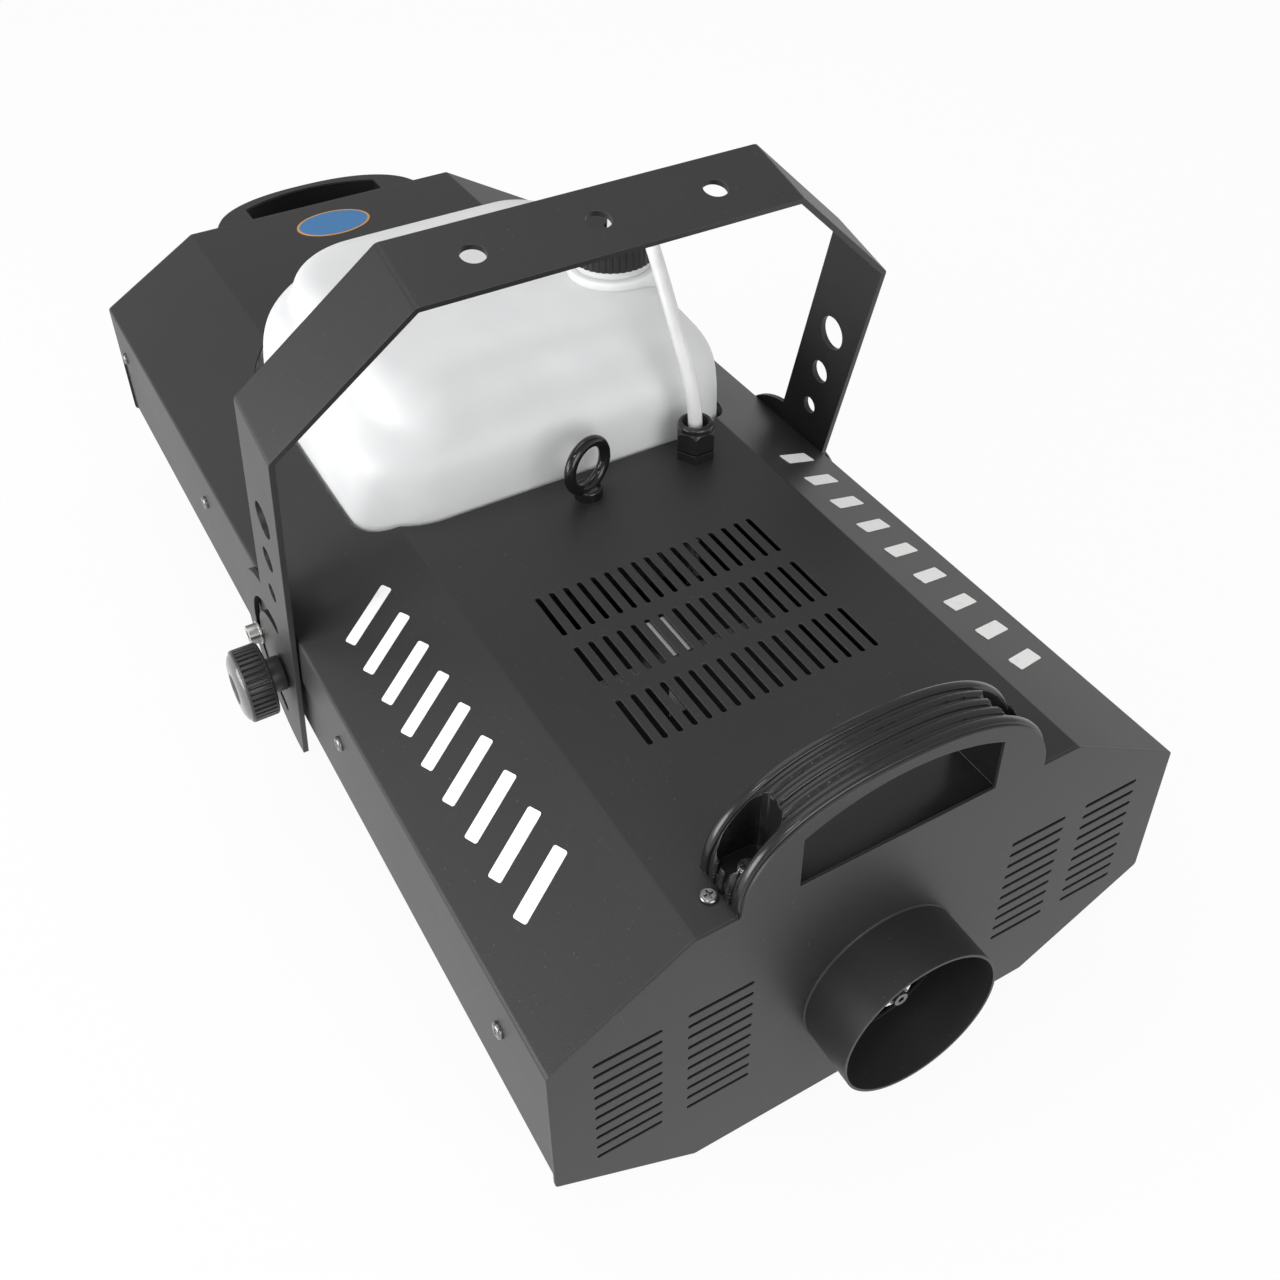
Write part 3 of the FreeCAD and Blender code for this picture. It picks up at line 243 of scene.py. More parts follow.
class Recipe:                            # one material and its nodes; lengths are in metres
    def __init__(self, name, **values):
        self.material = bpy.data.materials.new(name)
        self.material.use_nodes = True
        self.tree = self.material.node_tree
        self.shader = self.tree.nodes["Principled BSDF"]
        for socket, value in values.items():
            self.shader.inputs[socket.replace("_", " ")].default_value = value

    def add(self, kind, settings=None, values=None, out=0):
        node = self.tree.nodes.new(kind)
        for key, value in (settings or {}).items():
            if key == "stops":
                while len(node.color_ramp.elements) < len(value):
                    node.color_ramp.elements.new(0.5)
                for stop, (position, shade) in zip(node.color_ramp.elements, value):
                    stop.position = position
                    stop.color = grey(shade)
            else:
                setattr(node, key, value)
        for key, value in (values or {}).items():
            if isinstance(value, Wire):
                self.tree.links.new(value.socket, node.inputs[key])
            else:
                node.inputs[key].default_value = value
        return Wire(self, node.outputs[out])

    def feed(self, socket, wire):
        self.tree.links.new(wire.socket, self.shader.inputs[socket])

    def where(self):
        return self.add("ShaderNodeTexCoord", out=3)

    def noise(self, scale, detail=3.0, rough=0.5, stretch=None):
        spot = self.where()
        if stretch:
            spot = self.add("ShaderNodeMapping", {}, {"Vector": spot, "Scale": stretch})
        return self.add("ShaderNodeTexNoise", {},
                        {"Vector": spot, "Scale": scale, "Detail": detail, "Roughness": rough})

    def ramp(self, wire, *stops):
        return self.add("ShaderNodeValToRGB", {"stops": stops}, {0: wire})

    def blend(self, share, first, second):
        return self.add("ShaderNodeMix", {"data_type": "RGBA"},
                        {0: share, 6: first, 7: second}, out=2)

    def bump(self, height, strength, distance, under=None):
        values = {"Strength": strength, "Distance": distance, "Height": height}
        if under:
            values["Normal"] = under
        return self.add("ShaderNodeBump", {}, values)

    def relief(self, scale, detail, strength, distance, under=None):     # noise as bump
        return self.bump(self.noise(scale, detail), strength, distance, under)

    def roundedEdges(self, radius):
        return self.add("ShaderNodeBevel", {"samples": 6}, {"Radius": radius})

    # edge mask from the rounded normal; it drives the painted edge highlight and the edge
    # roughness
    def edgeShare(self, rounded, strength):
        flat = self.add("ShaderNodeNewGeometry", {}, {}, out=1)
        facing = self.add("ShaderNodeVectorMath", {"operation": "DOT_PRODUCT"},
                          {0: rounded, 1: flat}, out=1)
        return self.add("ShaderNodeClamp", {}, {0: (1 - facing) * strength})


def grey(level):
    return (level, level, level, 1)


def darker(shade, share):
    return tuple(channel * share for channel in shade[:3]) + (1,)


coat = {                                 # powder coat on sheet steel, with a painted highlight along its edges and bends
    "corner": 0.0006,
    "edgeGain": 3.0,
    "clouds": (9.0, 4.0),                # scale, detail
    "cloudShades": (0.82, 1.2),          # times the level
    "specks": (620.0, 2.0),
    "speckStops": ((0.70, 0.0), (0.78, 1.0)),
    "speckShare": 0.16,
    "speckLevel": 0.32,
    "cloudRoughness": 0.10,
    "edgeRoughness": -0.06,
    "grain": (1500.0, 2.0, 0.16, 0.0004),        # scale, detail, strength, depth
    "ripple": (14.0, 2.0, 0.05, 0.004),
}


def powderCoat(name, level, roughness, edgeHighlight=0.05):
    look = Recipe(name, Roughness=roughness, Specular_IOR_Level=0.42)
    rounded = look.roundedEdges(coat["corner"])
    edge = look.edgeShare(rounded, coat["edgeGain"])
    cloud = look.noise(*coat["clouds"])
    specks = look.ramp(look.noise(*coat["specks"]), *coat["speckStops"])
    low, high = coat["cloudShades"]
    body = look.blend(cloud, grey(level * low), grey(level * high))
    dusty = look.blend(specks * coat["speckShare"], body, grey(coat["speckLevel"]))
    # painted highlight: rounded edges and bends get a lighter colour, standing in for light
    # catching them
    look.feed("Base Color", look.blend(edge, dusty, grey(level + edgeHighlight)))
    look.feed("Roughness", roughness - 0.06 + cloud * coat["cloudRoughness"]
              + edge * coat["edgeRoughness"])
    grain = look.relief(*coat["grain"], rounded)
    look.feed("Normal", look.relief(*coat["ripple"], grain))
    return look.material


gloss = {                                # polished plastic and enamel, with a painted highlight along rounded edges
    "corner": 0.0004,
    "edgeGain": 2.0,
    "clouds": (60.0, 4.0),
    "cloudRoughness": 0.12,
    "ripple": (260.0, 3.0, 0.06, 0.0006),
}


def glossPlastic(name, level, roughness, edgeHighlight=0.02):
    look = Recipe(name, Specular_IOR_Level=0.5)
    rounded = look.roundedEdges(gloss["corner"])
    edge = look.edgeShare(rounded, gloss["edgeGain"])
    cloud = look.noise(*gloss["clouds"])
    # painted highlight: rounded edges get a lighter colour, standing in for light catching them
    look.feed("Base Color", look.blend(edge, grey(level), grey(level + edgeHighlight)))
    look.feed("Roughness", roughness + cloud * gloss["cloudRoughness"] - 0.03)
    look.feed("Normal", look.relief(*gloss["ripple"], rounded))
    return look.material


metal = {                                # turned, plated, galvanised and cast metals
    "streaks": (400.0, 5.0, 0.6),        # scale, detail, roughness
    "streakDark": 0.72,
    "streakDepth": (0.12, 0.0003),       # bump strength, depth
    "corner": 0.0003,
    "spangles": 140.0,
    "spangleStops": ((0.1, 0.0), (0.8, 1.0)),
    "spangleShades": (0.52, 0.72),
    "lumps": (500.0, 5.0, 0.65),
    "lumpDark": 0.7,
    "lumpDepth": (0.35, 0.0006),
}


def bareMetal(name, shade, roughness):
    look = Recipe(name, Metallic=1.0)
    streak = look.noise(*metal["streaks"])
    look.feed("Base Color", look.blend(streak, darker(shade, metal["streakDark"]), shade))
    look.feed("Roughness", roughness - 0.08 + streak * 0.18)
    rounded = look.roundedEdges(metal["corner"])
    look.feed("Normal", look.bump(streak, *metal["streakDepth"], rounded))
    return look.material


def galvanised(name):
    look = Recipe(name, Metallic=1.0)
    spangle = look.add("ShaderNodeTexVoronoi", {},
                       {"Vector": look.where(), "Scale": metal["spangles"]})
    low, high = metal["spangleShades"]
    share = look.ramp(spangle, *metal["spangleStops"])
    look.feed("Base Color", look.blend(share, grey(low), grey(high)))
    look.feed("Roughness", 0.36 + spangle * 0.2)
    return look.material


def castMetal(name, shade):
    look = Recipe(name, Metallic=1.0)
    lumps = look.noise(*metal["lumps"])
    look.feed("Base Color", look.blend(lumps, darker(shade, metal["lumpDark"]), shade))
    look.feed("Roughness", 0.42 + lumps * 0.25)
    look.feed("Normal", look.bump(lumps, *metal["lumpDepth"]))
    return look.material


moulding = {                             # grained plastic
    "corner": 0.0004,
    "clouds": (40.0, 4.0),
    "cloudDark": 0.85,
    "cloudRoughness": 0.1,
    "grainDetail": 2.0,
    "grainDepth": (0.12, 0.0003),
}


def mouldedPlastic(name, shade, roughness, grain=700.0):
    look = Recipe(name, Specular_IOR_Level=0.4)
    cloud = look.noise(*moulding["clouds"])
    look.feed("Base Color", look.blend(cloud, darker(shade, moulding["cloudDark"]), shade))
    look.feed("Roughness", roughness + cloud * moulding["cloudRoughness"])
    look.feed("Normal", look.relief(grain, moulding["grainDetail"], *moulding["grainDepth"],
                                    look.roundedEdges(moulding["corner"])))
    return look.material


fibre = {
    "strands": (300.0, 8.0, 0.75, (1, 3.5, 1)),  # scale, detail, roughness, stretch
    "dark": (0.55, 0.50, 0.40, 1),
    "pale": (0.88, 0.85, 0.76, 1),
    "depth": (0.8, 0.0012),
}


def pressedFibre(name):
    look = Recipe(name, Roughness=0.95, Specular_IOR_Level=0.1)
    strands = look.noise(*fibre["strands"])
    look.feed("Base Color", look.blend(strands, fibre["dark"], fibre["pale"]))
    look.feed("Normal", look.bump(strands, *fibre["depth"]))
    return look.material


polyethylene = {                         # the blown tank
    "softness": 0.35,
    "softDepth": 0.012,
    "clouds": (11.0, 4.0, 0.55),
    "dark": (0.64, 0.645, 0.65, 1),
    "pale": (0.80, 0.805, 0.81, 1),
    "ripple": (26.0, 2.0, 0.22, 0.004),
}


def blownPolyethylene(name):
    look = Recipe(name, Specular_IOR_Level=0.35, Subsurface_Weight=polyethylene["softness"],
                  Subsurface_Scale=polyethylene["softDepth"], Subsurface_Radius=(1.0, 1.0, 1.0))
    cloud = look.noise(*polyethylene["clouds"])
    look.feed("Base Color", look.blend(cloud, polyethylene["dark"], polyethylene["pale"]))
    look.feed("Roughness", 0.34 + cloud * 0.16)
    look.feed("Normal", look.relief(*polyethylene["ripple"]))
    return look.material


tube = {                                 # the suction hose
    "clearness": 0.25,
    "clouds": (90.0, 2.0),
    "dark": (0.78, 0.79, 0.78, 1),
    "pale": (0.92, 0.925, 0.92, 1),
}


def softTube(name):
    look = Recipe(name, Transmission_Weight=tube["clearness"], IOR=1.4, Specular_IOR_Level=0.5)
    cloud = look.noise(*tube["clouds"])
    look.feed("Base Color", look.blend(cloud, tube["dark"], tube["pale"]))
    look.feed("Roughness", 0.16 + cloud * 0.12)
    return look.material


board = {
    "tracks": 90.0,
    "trackWidth": 0.03,
    "lacquer": (0.01, 0.13, 0.05, 1),
    "track": (0.04, 0.30, 0.12, 1),
    "clouds": 120.0,
}


def circuitBoard(name):
    look = Recipe(name, Specular_IOR_Level=0.5)
    tracks = look.add("ShaderNodeTexBrick", {"offset": 0.5}, {
        "Vector": look.where(),
        "Scale": board["tracks"],
        "Mortar Size": board["trackWidth"],
    }, out=1)
    look.feed("Base Color", look.blend(tracks, board["lacquer"], board["track"]))
    look.feed("Roughness", 0.3 + look.noise(board["clouds"]) * 0.15)
    return look.material


rubber = {
    "clouds": (200.0, 5.0),
    "shades": (0.018, 0.05),
    "depth": (0.3, 0.0005),
}


def rubberSkin(name):
    look = Recipe(name, Specular_IOR_Level=0.3)
    cloud = look.noise(*rubber["clouds"])
    low, high = rubber["shades"]
    look.feed("Base Color", look.blend(cloud, grey(low), grey(high)))
    look.feed("Roughness", 0.72 + cloud * 0.2)
    look.feed("Normal", look.bump(cloud, *rubber["depth"]))
    return look.material


ink = {
    "wear": (150.0, 6.0, 0.6),
    "wearStops": ((0.30, 0.0), (0.42, 1.0)),
    "wornShade": 0.9,
    "grain": (1500.0, 2.0, 0.1, 0.0003),
}


def printedInk(name, shade):
    look = Recipe(name, Specular_IOR_Level=0.4)
    wear = look.noise(*ink["wear"])
    whole = look.ramp(wear, *ink["wearStops"])
    look.feed("Base Color", look.blend(whole, darker(shade, ink["wornShade"]), shade))
    look.feed("Roughness", 0.42 + wear * 0.15)
    look.feed("Normal", look.relief(*ink["grain"]))
    return look.material


looks = {
    "black_paint": powderCoat("black_powder_coat", 0.021, 0.46),
    "gloss_black": glossPlastic("gloss_black_plastic", 0.012, 0.2),
    "black_screw": bareMetal("black_nickel", grey(0.28), 0.26),
    "rubber": rubberSkin("foot_rubber"),
    "dark_steel": bareMetal("darkened_steel", grey(0.26), 0.3),
    "white_ring": mouldedPlastic("white_ring_plastic", (0.86, 0.86, 0.83, 1), 0.4),
    "steel": bareMetal("zinc_plate", (0.66, 0.66, 0.64, 1), 0.3),
    "galvanised": galvanised("galvanised_sheet"),
    "dark_aluminium": castMetal("heated_aluminium", (0.10, 0.10, 0.10, 1)),
    "heat_black": powderCoat("heatproof_black", 0.012, 0.7, 0.01),
    "lagging": pressedFibre("pressed_fibre"),
    "black_enamel": glossPlastic("black_enamel", 0.008, 0.1),
    "natural_plastic": blownPolyethylene("blown_polyethylene"),
    "black_plastic": mouldedPlastic("black_moulding", grey(0.016), 0.36),
    "red_plastic": mouldedPlastic("red_rocker", (0.42, 0.02, 0.015, 1), 0.2),
    "clear_hose": softTube("soft_tube"),
    "filter": castMetal("sintered_bronze", (0.62, 0.46, 0.28, 1)),
    "pump": powderCoat("pump_paint", 0.12, 0.4),
    "board": circuitBoard("circuit_board"),
    "board_parts": mouldedPlastic("component_plastic", grey(0.03), 0.4),
    "terminal": mouldedPlastic("terminal_nylon", (0.78, 0.78, 0.74, 1), 0.4),
}
whiteInk = printedInk("white_ink", (0.88, 0.88, 0.87, 1))
blueFilm = printedInk("blue_film", (0.05, 0.19, 0.42, 1))
amberFilm = printedInk("amber_film", (0.60, 0.30, 0.10, 1))
capGloss = glossPlastic("knob_cap_gloss", 0.14, 0.12)
knobPlastic = mouldedPlastic("knob_plastic", grey(0.034), 0.3, 400.0)
for entry in frame["record"]["subparts"]:
    piece = nodes[entry["node"]]
    piece.data.materials.clear()
    piece.data.materials.append(looks[entry["material_slot"]])
print("finishes set:", len(looks))

view = {                                 # angles in degrees, lens and sensor in millimetres
    "eye": place(-277.3, -275.7, 629.3),
    "azimuth": -29.2818,
    "elevation": 38.3514,
    "roll": -0.8713,
    "lens": 40.31,
    "sensor": 36,
    "shift": (0.0049, -0.0979),
    "nearest": 0.01,
}


def makeCamera():
    turn, lift, roll = (math.radians(view[key]) for key in ("azimuth", "elevation", "roll"))
    level = Vector((math.cos(turn), math.sin(turn), 0))
    away = Vector((math.sin(turn), -math.cos(turn), 0))
    back = away * math.cos(lift) + Vector((0, 0, math.sin(lift)))
    rise = back.cross(level)
    right = level * math.cos(roll) + rise * math.sin(roll)
    up = rise * math.cos(roll) - level * math.sin(roll)
    bpy.ops.object.camera_add()
    camera = bpy.context.active_object
    facing = Matrix((right, up, back)).transposed().to_4x4()
    camera.matrix_world = Matrix.Translation(view["eye"]) @ facing
    camera.data.sensor_width = view["sensor"]
    camera.data.lens = view["lens"]
    camera.data.shift_x, camera.data.shift_y = view["shift"]
    camera.data.clip_start = view["nearest"]
    bpy.context.scene.camera = camera


makeCamera()

hose = {
    "radius": 0.004,
    "smoothness": 24,                    # steps along each span
    "roundness": 8,
    "route": [                           # millimetres: x, from the front face, height
        (82.0, 386.0, 82.0),
        (82.0, 386.0, 264.0),
        (79.5, 369.0, 281.0),
        (75.5, 343.0, 281.5),
        (68.5, 309.0, 259.0),
        (66.0, 288.0, 235.0),
        (67.5, 275.5, 210.0),
        (69.0, 271.0, 188.0),
        (69.0, 271.0, 150.0),
        (69.0, 271.0, 54.0),
    ],
}


def makeHose():
    line = bpy.data.curves.new("suction_hose_line", "CURVE")
    line.dimensions = "3D"
    spline = line.splines.new("NURBS")
    spline.points.add(len(hose["route"]) - 1)
    for point, entry in zip(spline.points, hose["route"]):
        point.co = (*place(*entry), 1)
    spline.order_u = 3
    spline.use_endpoint_u = True
    spline.resolution_u = hose["smoothness"]
    line.bevel_depth = hose["radius"]
    line.bevel_resolution = hose["roundness"]
    line.use_fill_caps = True
    piece = bpy.data.objects.new("soft_hose", line)
    bpy.context.scene.collection.objects.link(piece)
    finishPiece(piece, looks["clear_hose"], "case", "clear_hose", "suction_hose")
    print("hose made")


makeHose()


tank = {                                 # corner radii and the heel in metres
    "frontLeft": (0.040, 8),             # radius in plan, steps
    "rearLeft": (0.060, 10),
    "right": (0.042, 8),
    "heel": (0.009, 3),
    "ringLip": 0.0015,
    "subdivisions": 2,
    "smoothAngle": 50,
    "levels": [                          # millimetres: height, left, right, front, rear
        (64.0, -114.5, 114.5, 289.5, 516.5),
        (160.0, -114.5, 114.5, 289.5, 516.5),
        (178.0, -112.5, 114.0, 290.0, 516.3),
        (189.0, -109.5, 112.5, 291.5, 516.0),
        (196.0, -104.0, 110.0, 295.0, 515.5),
        (200.0, -97.0, 107.5, 299.0, 515.0),
        (202.0, -91.5, 106.0, 301.5, 514.8),
        (205.0, -89.0, 104.0, 304.5, 514.5),
        (210.0, -87.5, 100.5, 309.0, 513.5),
        (214.5, -84.5, 96.0, 316.0, 510.5),
        (217.8, -78.0, 89.0, 328.0, 503.5),
        (219.2, -66.0, 78.0, 345.0, 490.0),
    ],
    "neck": (82.0, 386.0),               # x, from the front face
    "neckRings": [(27.5, 205.0, 224.0), (23.0, 218.0, 243.0)],   # radius, from, to
}


def levelMiddle(level):
    height, left, right, front, rear = level
    return place((left + right) / 2, (front + rear) / 2, height)


def makeTank():
    levels = tank["levels"]
    low, left, right, front, rear = levels[0]
    high = levels[1][0]
    bottom, top = place(0, 0, low).z, place(0, 0, high).z
    middle = (levelMiddle(levels[0]) + levelMiddle(levels[1])) / 2
    size = Vector((right - left, rear - front, high - low)) / 1000
    bpy.ops.object.select_all(action="DESELECT")
    bpy.ops.mesh.primitive_cube_add(size=1, location=middle, scale=size)
    piece = begin("blown_tank")
    settle(piece)

    def upright(edge, onLeft):
        first, second = (vert.co for vert in edge.verts)
        tall = abs(first.z - second.z) > size.z / 2
        return tall and (first.x < 0) == onLeft and isSharp(edge)

    def atRear(edge):
        return edge.verts[0].co.y > middle.y

    softenEdges(piece, lambda edge: upright(edge, True) and not atRear(edge), *tank["frontLeft"])
    softenEdges(piece, lambda edge: upright(edge, True) and atRear(edge), *tank["rearLeft"])
    softenEdges(piece, lambda edge: upright(edge, False), *tank["right"])
    moves = []
    for last, level in zip(levels[1:], levels[2:]):
        wide = (level[2] - level[1]) / (last[2] - last[1])
        deep = (level[4] - level[3]) / (last[4] - last[3])
        about = levelMiddle(level)
        moves.append((about - levelMiddle(last), (wide, deep, 1), about))
    pushOut(piece, lambda face: face.normal.z > 0.9 and face.verts[0].co.z > top - hair, moves)
    softenEdges(piece, lambda edge: all(abs(vert.co.z - bottom) < hair for vert in edge.verts),
                *tank["heel"])
    facesOut(piece)
    modify(piece, "SUBSURF", levels=tank["subdivisions"])
    rings = []
    for radius, start, end in tank["neckRings"]:
        ring = cylinder("neck_ring", 64, radius / 1000,
                        place(*tank["neck"], start), place(*tank["neck"], end))
        softenEdges(ring, isSharp, tank["ringLip"])
        rings.append(ring)
    piece = join([piece] + rings, "blown_tank")
    smooth(piece, tank["smoothAngle"])
    finishPiece(piece, looks["natural_plastic"], "case", "natural_plastic", "fluid_tank")
    print("tank made")


makeTank()

grip = {                                 # metres, apart from the two starts
    "frontStart": (0, 1.5, 161),         # middle of the foot of the arch
    "rearStart": (0, 676, 153.5),
    "half": 0.0785,
    "height": 0.049,
    "power": 2.33,
    "depth": 0.028,
    "ribs": 5,
    "groove": 0.0018,
    "crown": 0.0011,                     # how far a rib falls from its crown to its edge
    "cuts": (0.1, 0.3, 0.7, 0.9),        # where a rib is sliced, as shares of its width
    "archBand": 0.03,                    # how far off the arch's curve still counts as on it
    "footClear": 0.0004,
    "sliceWithin": 0.00002,
    "smoothAngle": 50,
}


def makeGrip(node, name):
    piece = copyOfNode(node, name)
    atFront = node == "front_grip"
    depthWay = Vector((0, 1, 0)) if atFront else Vector((0, 0, -1))
    riseWay = Vector((0, 0, 1)) if atFront else Vector((0, 1, 0))
    start = place(*grip["frontStart" if atFront else "rearStart"])
    power = grip["power"]

    def onArch(point):
        rise = (point - start).dot(riseWay)
        share = (abs(point.x) / grip["half"]) ** power + (max(rise, 0) / grip["height"]) ** power
        return abs(share - 1) < grip["archBand"] and rise > grip["footClear"]

    def depthOf(point):
        return (point - start).dot(depthWay)

    pitch = grip["depth"] / grip["ribs"]
    spans = []
    for index in range(grip["ribs"]):
        low = index * pitch + (grip["groove"] / 2 if index else 0)
        high = (index + 1) * pitch - (grip["groove"] / 2 if index < grip["ribs"] - 1 else 0)
        spans.append((low, high))
    pick(piece)
    bpy.ops.object.mode_set(mode="EDIT")
    for low, high in spans:
        for cut in grip["cuts"]:
            bpy.ops.mesh.select_all(action="SELECT")
            cutAt = start + depthWay * (low + (high - low) * cut)
            bpy.ops.mesh.bisect(plane_co=cutAt, plane_no=depthWay)
    mesh = bmesh.from_edit_mesh(piece.data)
    depths = sorted({round(depthOf(vert.co), 5) for vert in mesh.verts if onArch(vert.co)})
    for depth in depths:
        low, high = min(spans, key=lambda span: abs(depth - (span[0] + span[1]) / 2))
        off = min(abs(depth - (low + high) / 2) / ((high - low) / 2), 1)
        fall = grip["crown"] * (1 - math.sqrt(1 - off * off))
        chooseVerts(piece, lambda point: onArch(point)
                    and abs(depthOf(point) - depth) < grip["sliceWithin"])
        across = 1 - fall / grip["half"]
        up = 1 - fall / grip["height"]
        bpy.ops.transform.resize(value=(across, 1, up) if atFront else (across, up, 1),
                                 orient_type="GLOBAL", center_override=start)
    bpy.ops.object.mode_set(mode="OBJECT")
    smooth(piece, grip["smoothAngle"])
    finishPiece(piece, looks["gloss_black"], "case", "gloss_black", node)


makeGrip("front_grip", "front_handle")
makeGrip("rear_grip", "rear_handle")
print("grips made")

knob = {                                 # millimetres: radius, and from the middle of the case
    "flutes": 38,
    "fluteDeep": 1.3,
    "fluteLean": 0.45,                   # how far a flute narrows to its bottom, on each side
    "body": (20.8, 178.0, 193.2),
    "hub": (10.0, 169.4, 178.5),
    "stud": (5.0, 146.0, 170.0),
    "softness": {"body": 1.4, "hub": 0.6, "stud": 0.5},
    "cap": [
        (19.4, 193.3), (18.2, 194.6), (15.2, 195.8), (11.4, 196.3),
        (9.0, 196.4), (8.4, 195.6), (8.1, 193.6),
    ],
    "capDepth": 0.6,
    "smoothAngle": 25,
    "capSmoothAngle": 40,
    "pivot": (316.5, 72.0),              # from the front face, height
}


def makeKnob(side, node):
    def along(name, sides, radius, start, end):
        return cylinder(name, sides, radius / 1000,
                        place(side * start, *knob["pivot"]), place(side * end, *knob["pivot"]))

    def turned(part, sides):
        piece = along("knob_" + part, sides, *knob[part])
        softenEdges(piece, isSharp, knob["softness"][part] / 1000)
        return piece

    body = turned("body", knob["flutes"] * 2)
    pivot = place(0, *knob["pivot"])

    def flute(face):
        reach = face.calc_center_median() - pivot
        spoke = math.atan2(reach.z, reach.y) / math.pi * knob["flutes"]
        return abs(face.normal.x) < 0.05 and math.floor(spoke + 0.001) % 2 == 0

    pick(body)
    bpy.ops.object.mode_set(mode="EDIT")
    chooseFaces(body, flute)
    bpy.ops.mesh.inset(thickness=knob["fluteLean"] / 1000, depth=-knob["fluteDeep"] / 1000,
                       use_individual=True)
    bpy.ops.object.mode_set(mode="OBJECT")
    piece = join([body, turned("hub", 64), turned("stud", 48)], node + "_fluted")
    smooth(piece, knob["smoothAngle"])
    finishPiece(piece, knobPlastic, node, "gloss_black", node)

    rings = knob["cap"]
    radius, reach = rings[0]
    cap = along(node + "_cap", 64, radius, reach - knob["capDepth"], reach)
    moves = []
    for last, ring in zip(rings, rings[1:]):
        share = ring[0] / last[0]
        moves.append((Vector((side * (ring[1] - last[1]) / 1000, 0, 0)), (1, share, share),
                      place(side * ring[1], *knob["pivot"])))
    pushOut(cap, lambda face: face.normal.x * side > 0.9, moves)
    facesOut(cap)
    smooth(cap, knob["capSmoothAngle"])
    finishPiece(cap, capGloss, node, "gloss_black")


makeKnob(-1, "left_knob")
makeKnob(1, "right_knob")
print("knobs made")

marks = {                                # plain stripes and a blank patch
    "bars": 9,
    "barSize": (0.008, 0.034, 0.0003),   # metres
    "barCorner": 0.0012,
    "firstBar": 68.0,                    # millimetres from the front face
    "barPitch": 24.0,
    "barLean": 22.0,
    "slopeMiddle": (131.5, 141.0),       # x and height of the middle of a slope
    "lift": 0.0002,
    "patch": (-5.0, 641.0, 161.05),
    "patchRings": ((0.0265, 0.0185), (0.0248, 0.0170)),
    "patchLip": 0.0001,
}


def roundedPlate(name, size, corner):
    bpy.ops.object.select_all(action="DESELECT")
    bpy.ops.mesh.primitive_cube_add(size=1, scale=size)
    piece = begin(name)
    settle(piece)

    def upright(edge):
        first, second = (vert.co for vert in edge.verts)
        return abs(first.z - second.z) > size[2] / 2

    softenEdges(piece, upright, corner, 4)
    return piece


def makeStripes():
    fall = case["top"] - place(0, 0, case["bendHeight"]).z
    slope = math.atan2(fall, case["halfWidth"] - case["halfTop"])
    x, height = marks["slopeMiddle"]
    lean = Matrix.Rotation(math.radians(90 + marks["barLean"]), 4, "Z")
    for side, name in ((-1, "left_stripes"), (1, "right_stripes")):
        out = Vector((side * math.sin(slope), 0, math.cos(slope)))
        turn = Matrix.Rotation(side * slope, 4, "Y") @ lean
        bars = []
        for index in range(marks["bars"]):
            bar = roundedPlate("stripe", marks["barSize"], marks["barCorner"])
            spot = place(side * x, marks["firstBar"] + index * marks["barPitch"], height)
            bar.matrix_world = Matrix.Translation(spot + out * marks["lift"]) @ turn
            settle(bar)
            bars.append(bar)
        finishPiece(join(bars, name), whiteInk, "case", "black_paint")


def makePatch():
    thick = marks["barSize"][2]
    for index, (long, wide) in enumerate(marks["patchRings"]):
        bpy.ops.object.select_all(action="DESELECT")
        bpy.ops.mesh.primitive_cylinder_add(vertices=96, radius=1, depth=thick * (index + 1),
                                            location=place(*marks["patch"]), scale=(long, wide, 1))
        piece = begin("blank_patch_" + ("rim", "face")[index])
        settle(piece)
        softenEdges(piece, isSharp, marks["patchLip"], 2)
        finishPiece(piece, (amberFilm, blueFilm)[index], "case", "black_paint")


makeStripes()
makePatch()
print("marks made")

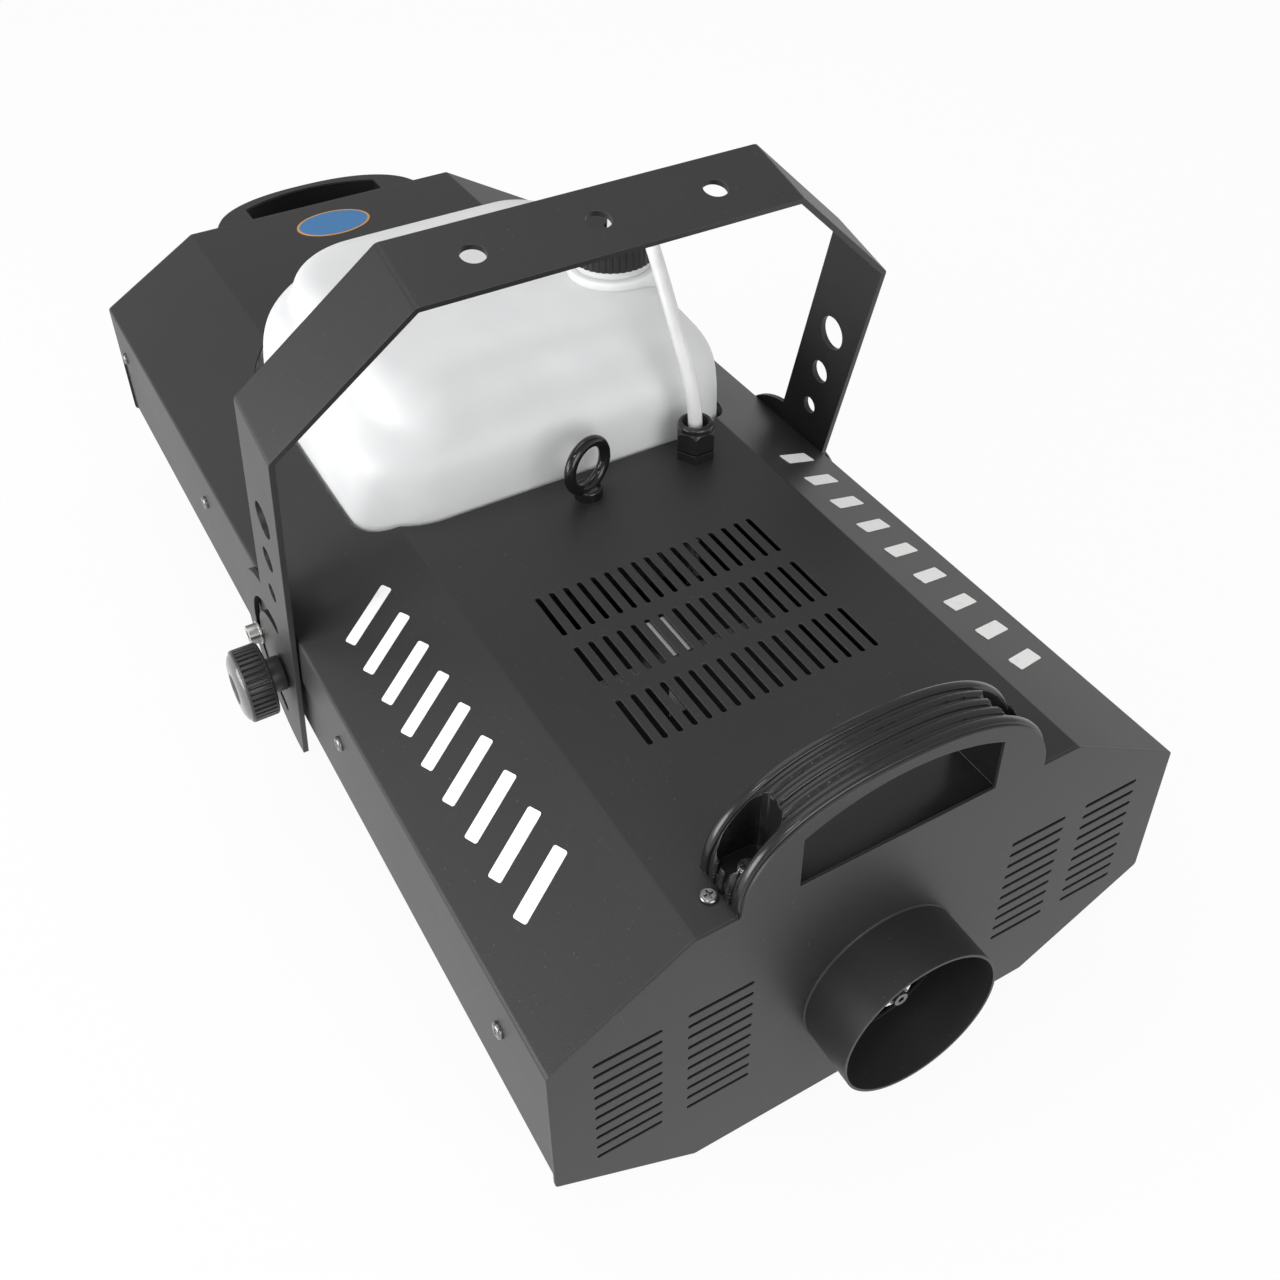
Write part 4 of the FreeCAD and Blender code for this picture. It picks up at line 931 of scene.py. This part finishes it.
studio = {
    "floorSize": 60.0,
    "floorShades": (0.80, 0.82),
    "whiteShare": 0.93,                  # how far the floor is lifted to white where it is seen
    "daylight": 0.50,                    # of the world, on the object
    "aim": (0, 0, 0.1),
    "lamps": [                           # name, place, size, watts
        ("lampLeft", (-2.3, 0.2, 0.5), 1.8, 58),
        ("lampGlint", (-0.9, -0.9, 1.7), 0.22, 5),
        ("lampFront", (0.1, -2.3, 0.9), 1.8, 26),
        ("lampAbove", (-0.2, 0.5, 2.4), 2.0, 12),
    ],
}


def makeFloor():
    bpy.ops.object.select_all(action="DESELECT")
    bpy.ops.mesh.primitive_plane_add(size=studio["floorSize"])
    floor = begin("floor")
    look = Recipe("pale_floor", Roughness=0.9, Specular_IOR_Level=0.0)
    low, high = studio["floorShades"]
    look.feed("Base Color", look.blend(look.noise(3.0), grey(low), grey(high)))
    rays = look.tree.nodes.new("ShaderNodeLightPath")
    seen = Wire(look, rays.outputs["Is Camera Ray"])
    for kind in ("Is Glossy Ray", "Is Transmission Ray"):
        seen = seen.math("MAXIMUM", seen, Wire(look, rays.outputs[kind]))
    white = look.add("ShaderNodeEmission", {}, {"Color": grey(1.0), "Strength": 1.0})
    mixed = look.add("ShaderNodeMixShader", {}, {
        0: seen * studio["whiteShare"],
        1: Wire(look, look.shader.outputs[0]),
        2: white,
    })
    look.tree.links.new(mixed.socket, look.tree.nodes["Material Output"].inputs["Surface"])
    floor.data.materials.append(look.material)


def makeWorld():
    world = bpy.data.worlds.new("studio")
    bpy.context.scene.world = world
    world.use_nodes = True
    tree = world.node_tree
    rays = tree.nodes.new("ShaderNodeLightPath")
    level = tree.nodes.new("ShaderNodeMapRange")
    tree.links.new(rays.outputs["Is Camera Ray"], level.inputs[0])
    level.inputs["To Min"].default_value = studio["daylight"]
    level.inputs["To Max"].default_value = 1.0
    tree.links.new(level.outputs[0], tree.nodes["Background"].inputs["Strength"])
    tree.nodes["Background"].inputs["Color"].default_value = grey(1.0)


def makeLamps():
    aim = Vector(studio["aim"])
    for name, spot, size, watts in studio["lamps"]:
        bpy.ops.object.light_add(type="AREA", location=spot)
        lamp = bpy.context.active_object
        lamp.name = name
        lamp.data.shape = "DISK"
        lamp.data.size = size
        lamp.data.energy = watts
        lamp.rotation_euler = (aim - Vector(spot)).to_track_quat("-Z", "Y").to_euler()


makeFloor()
makeWorld()
makeLamps()
bpy.context.scene.view_settings.view_transform = "Standard"

print("scene done")
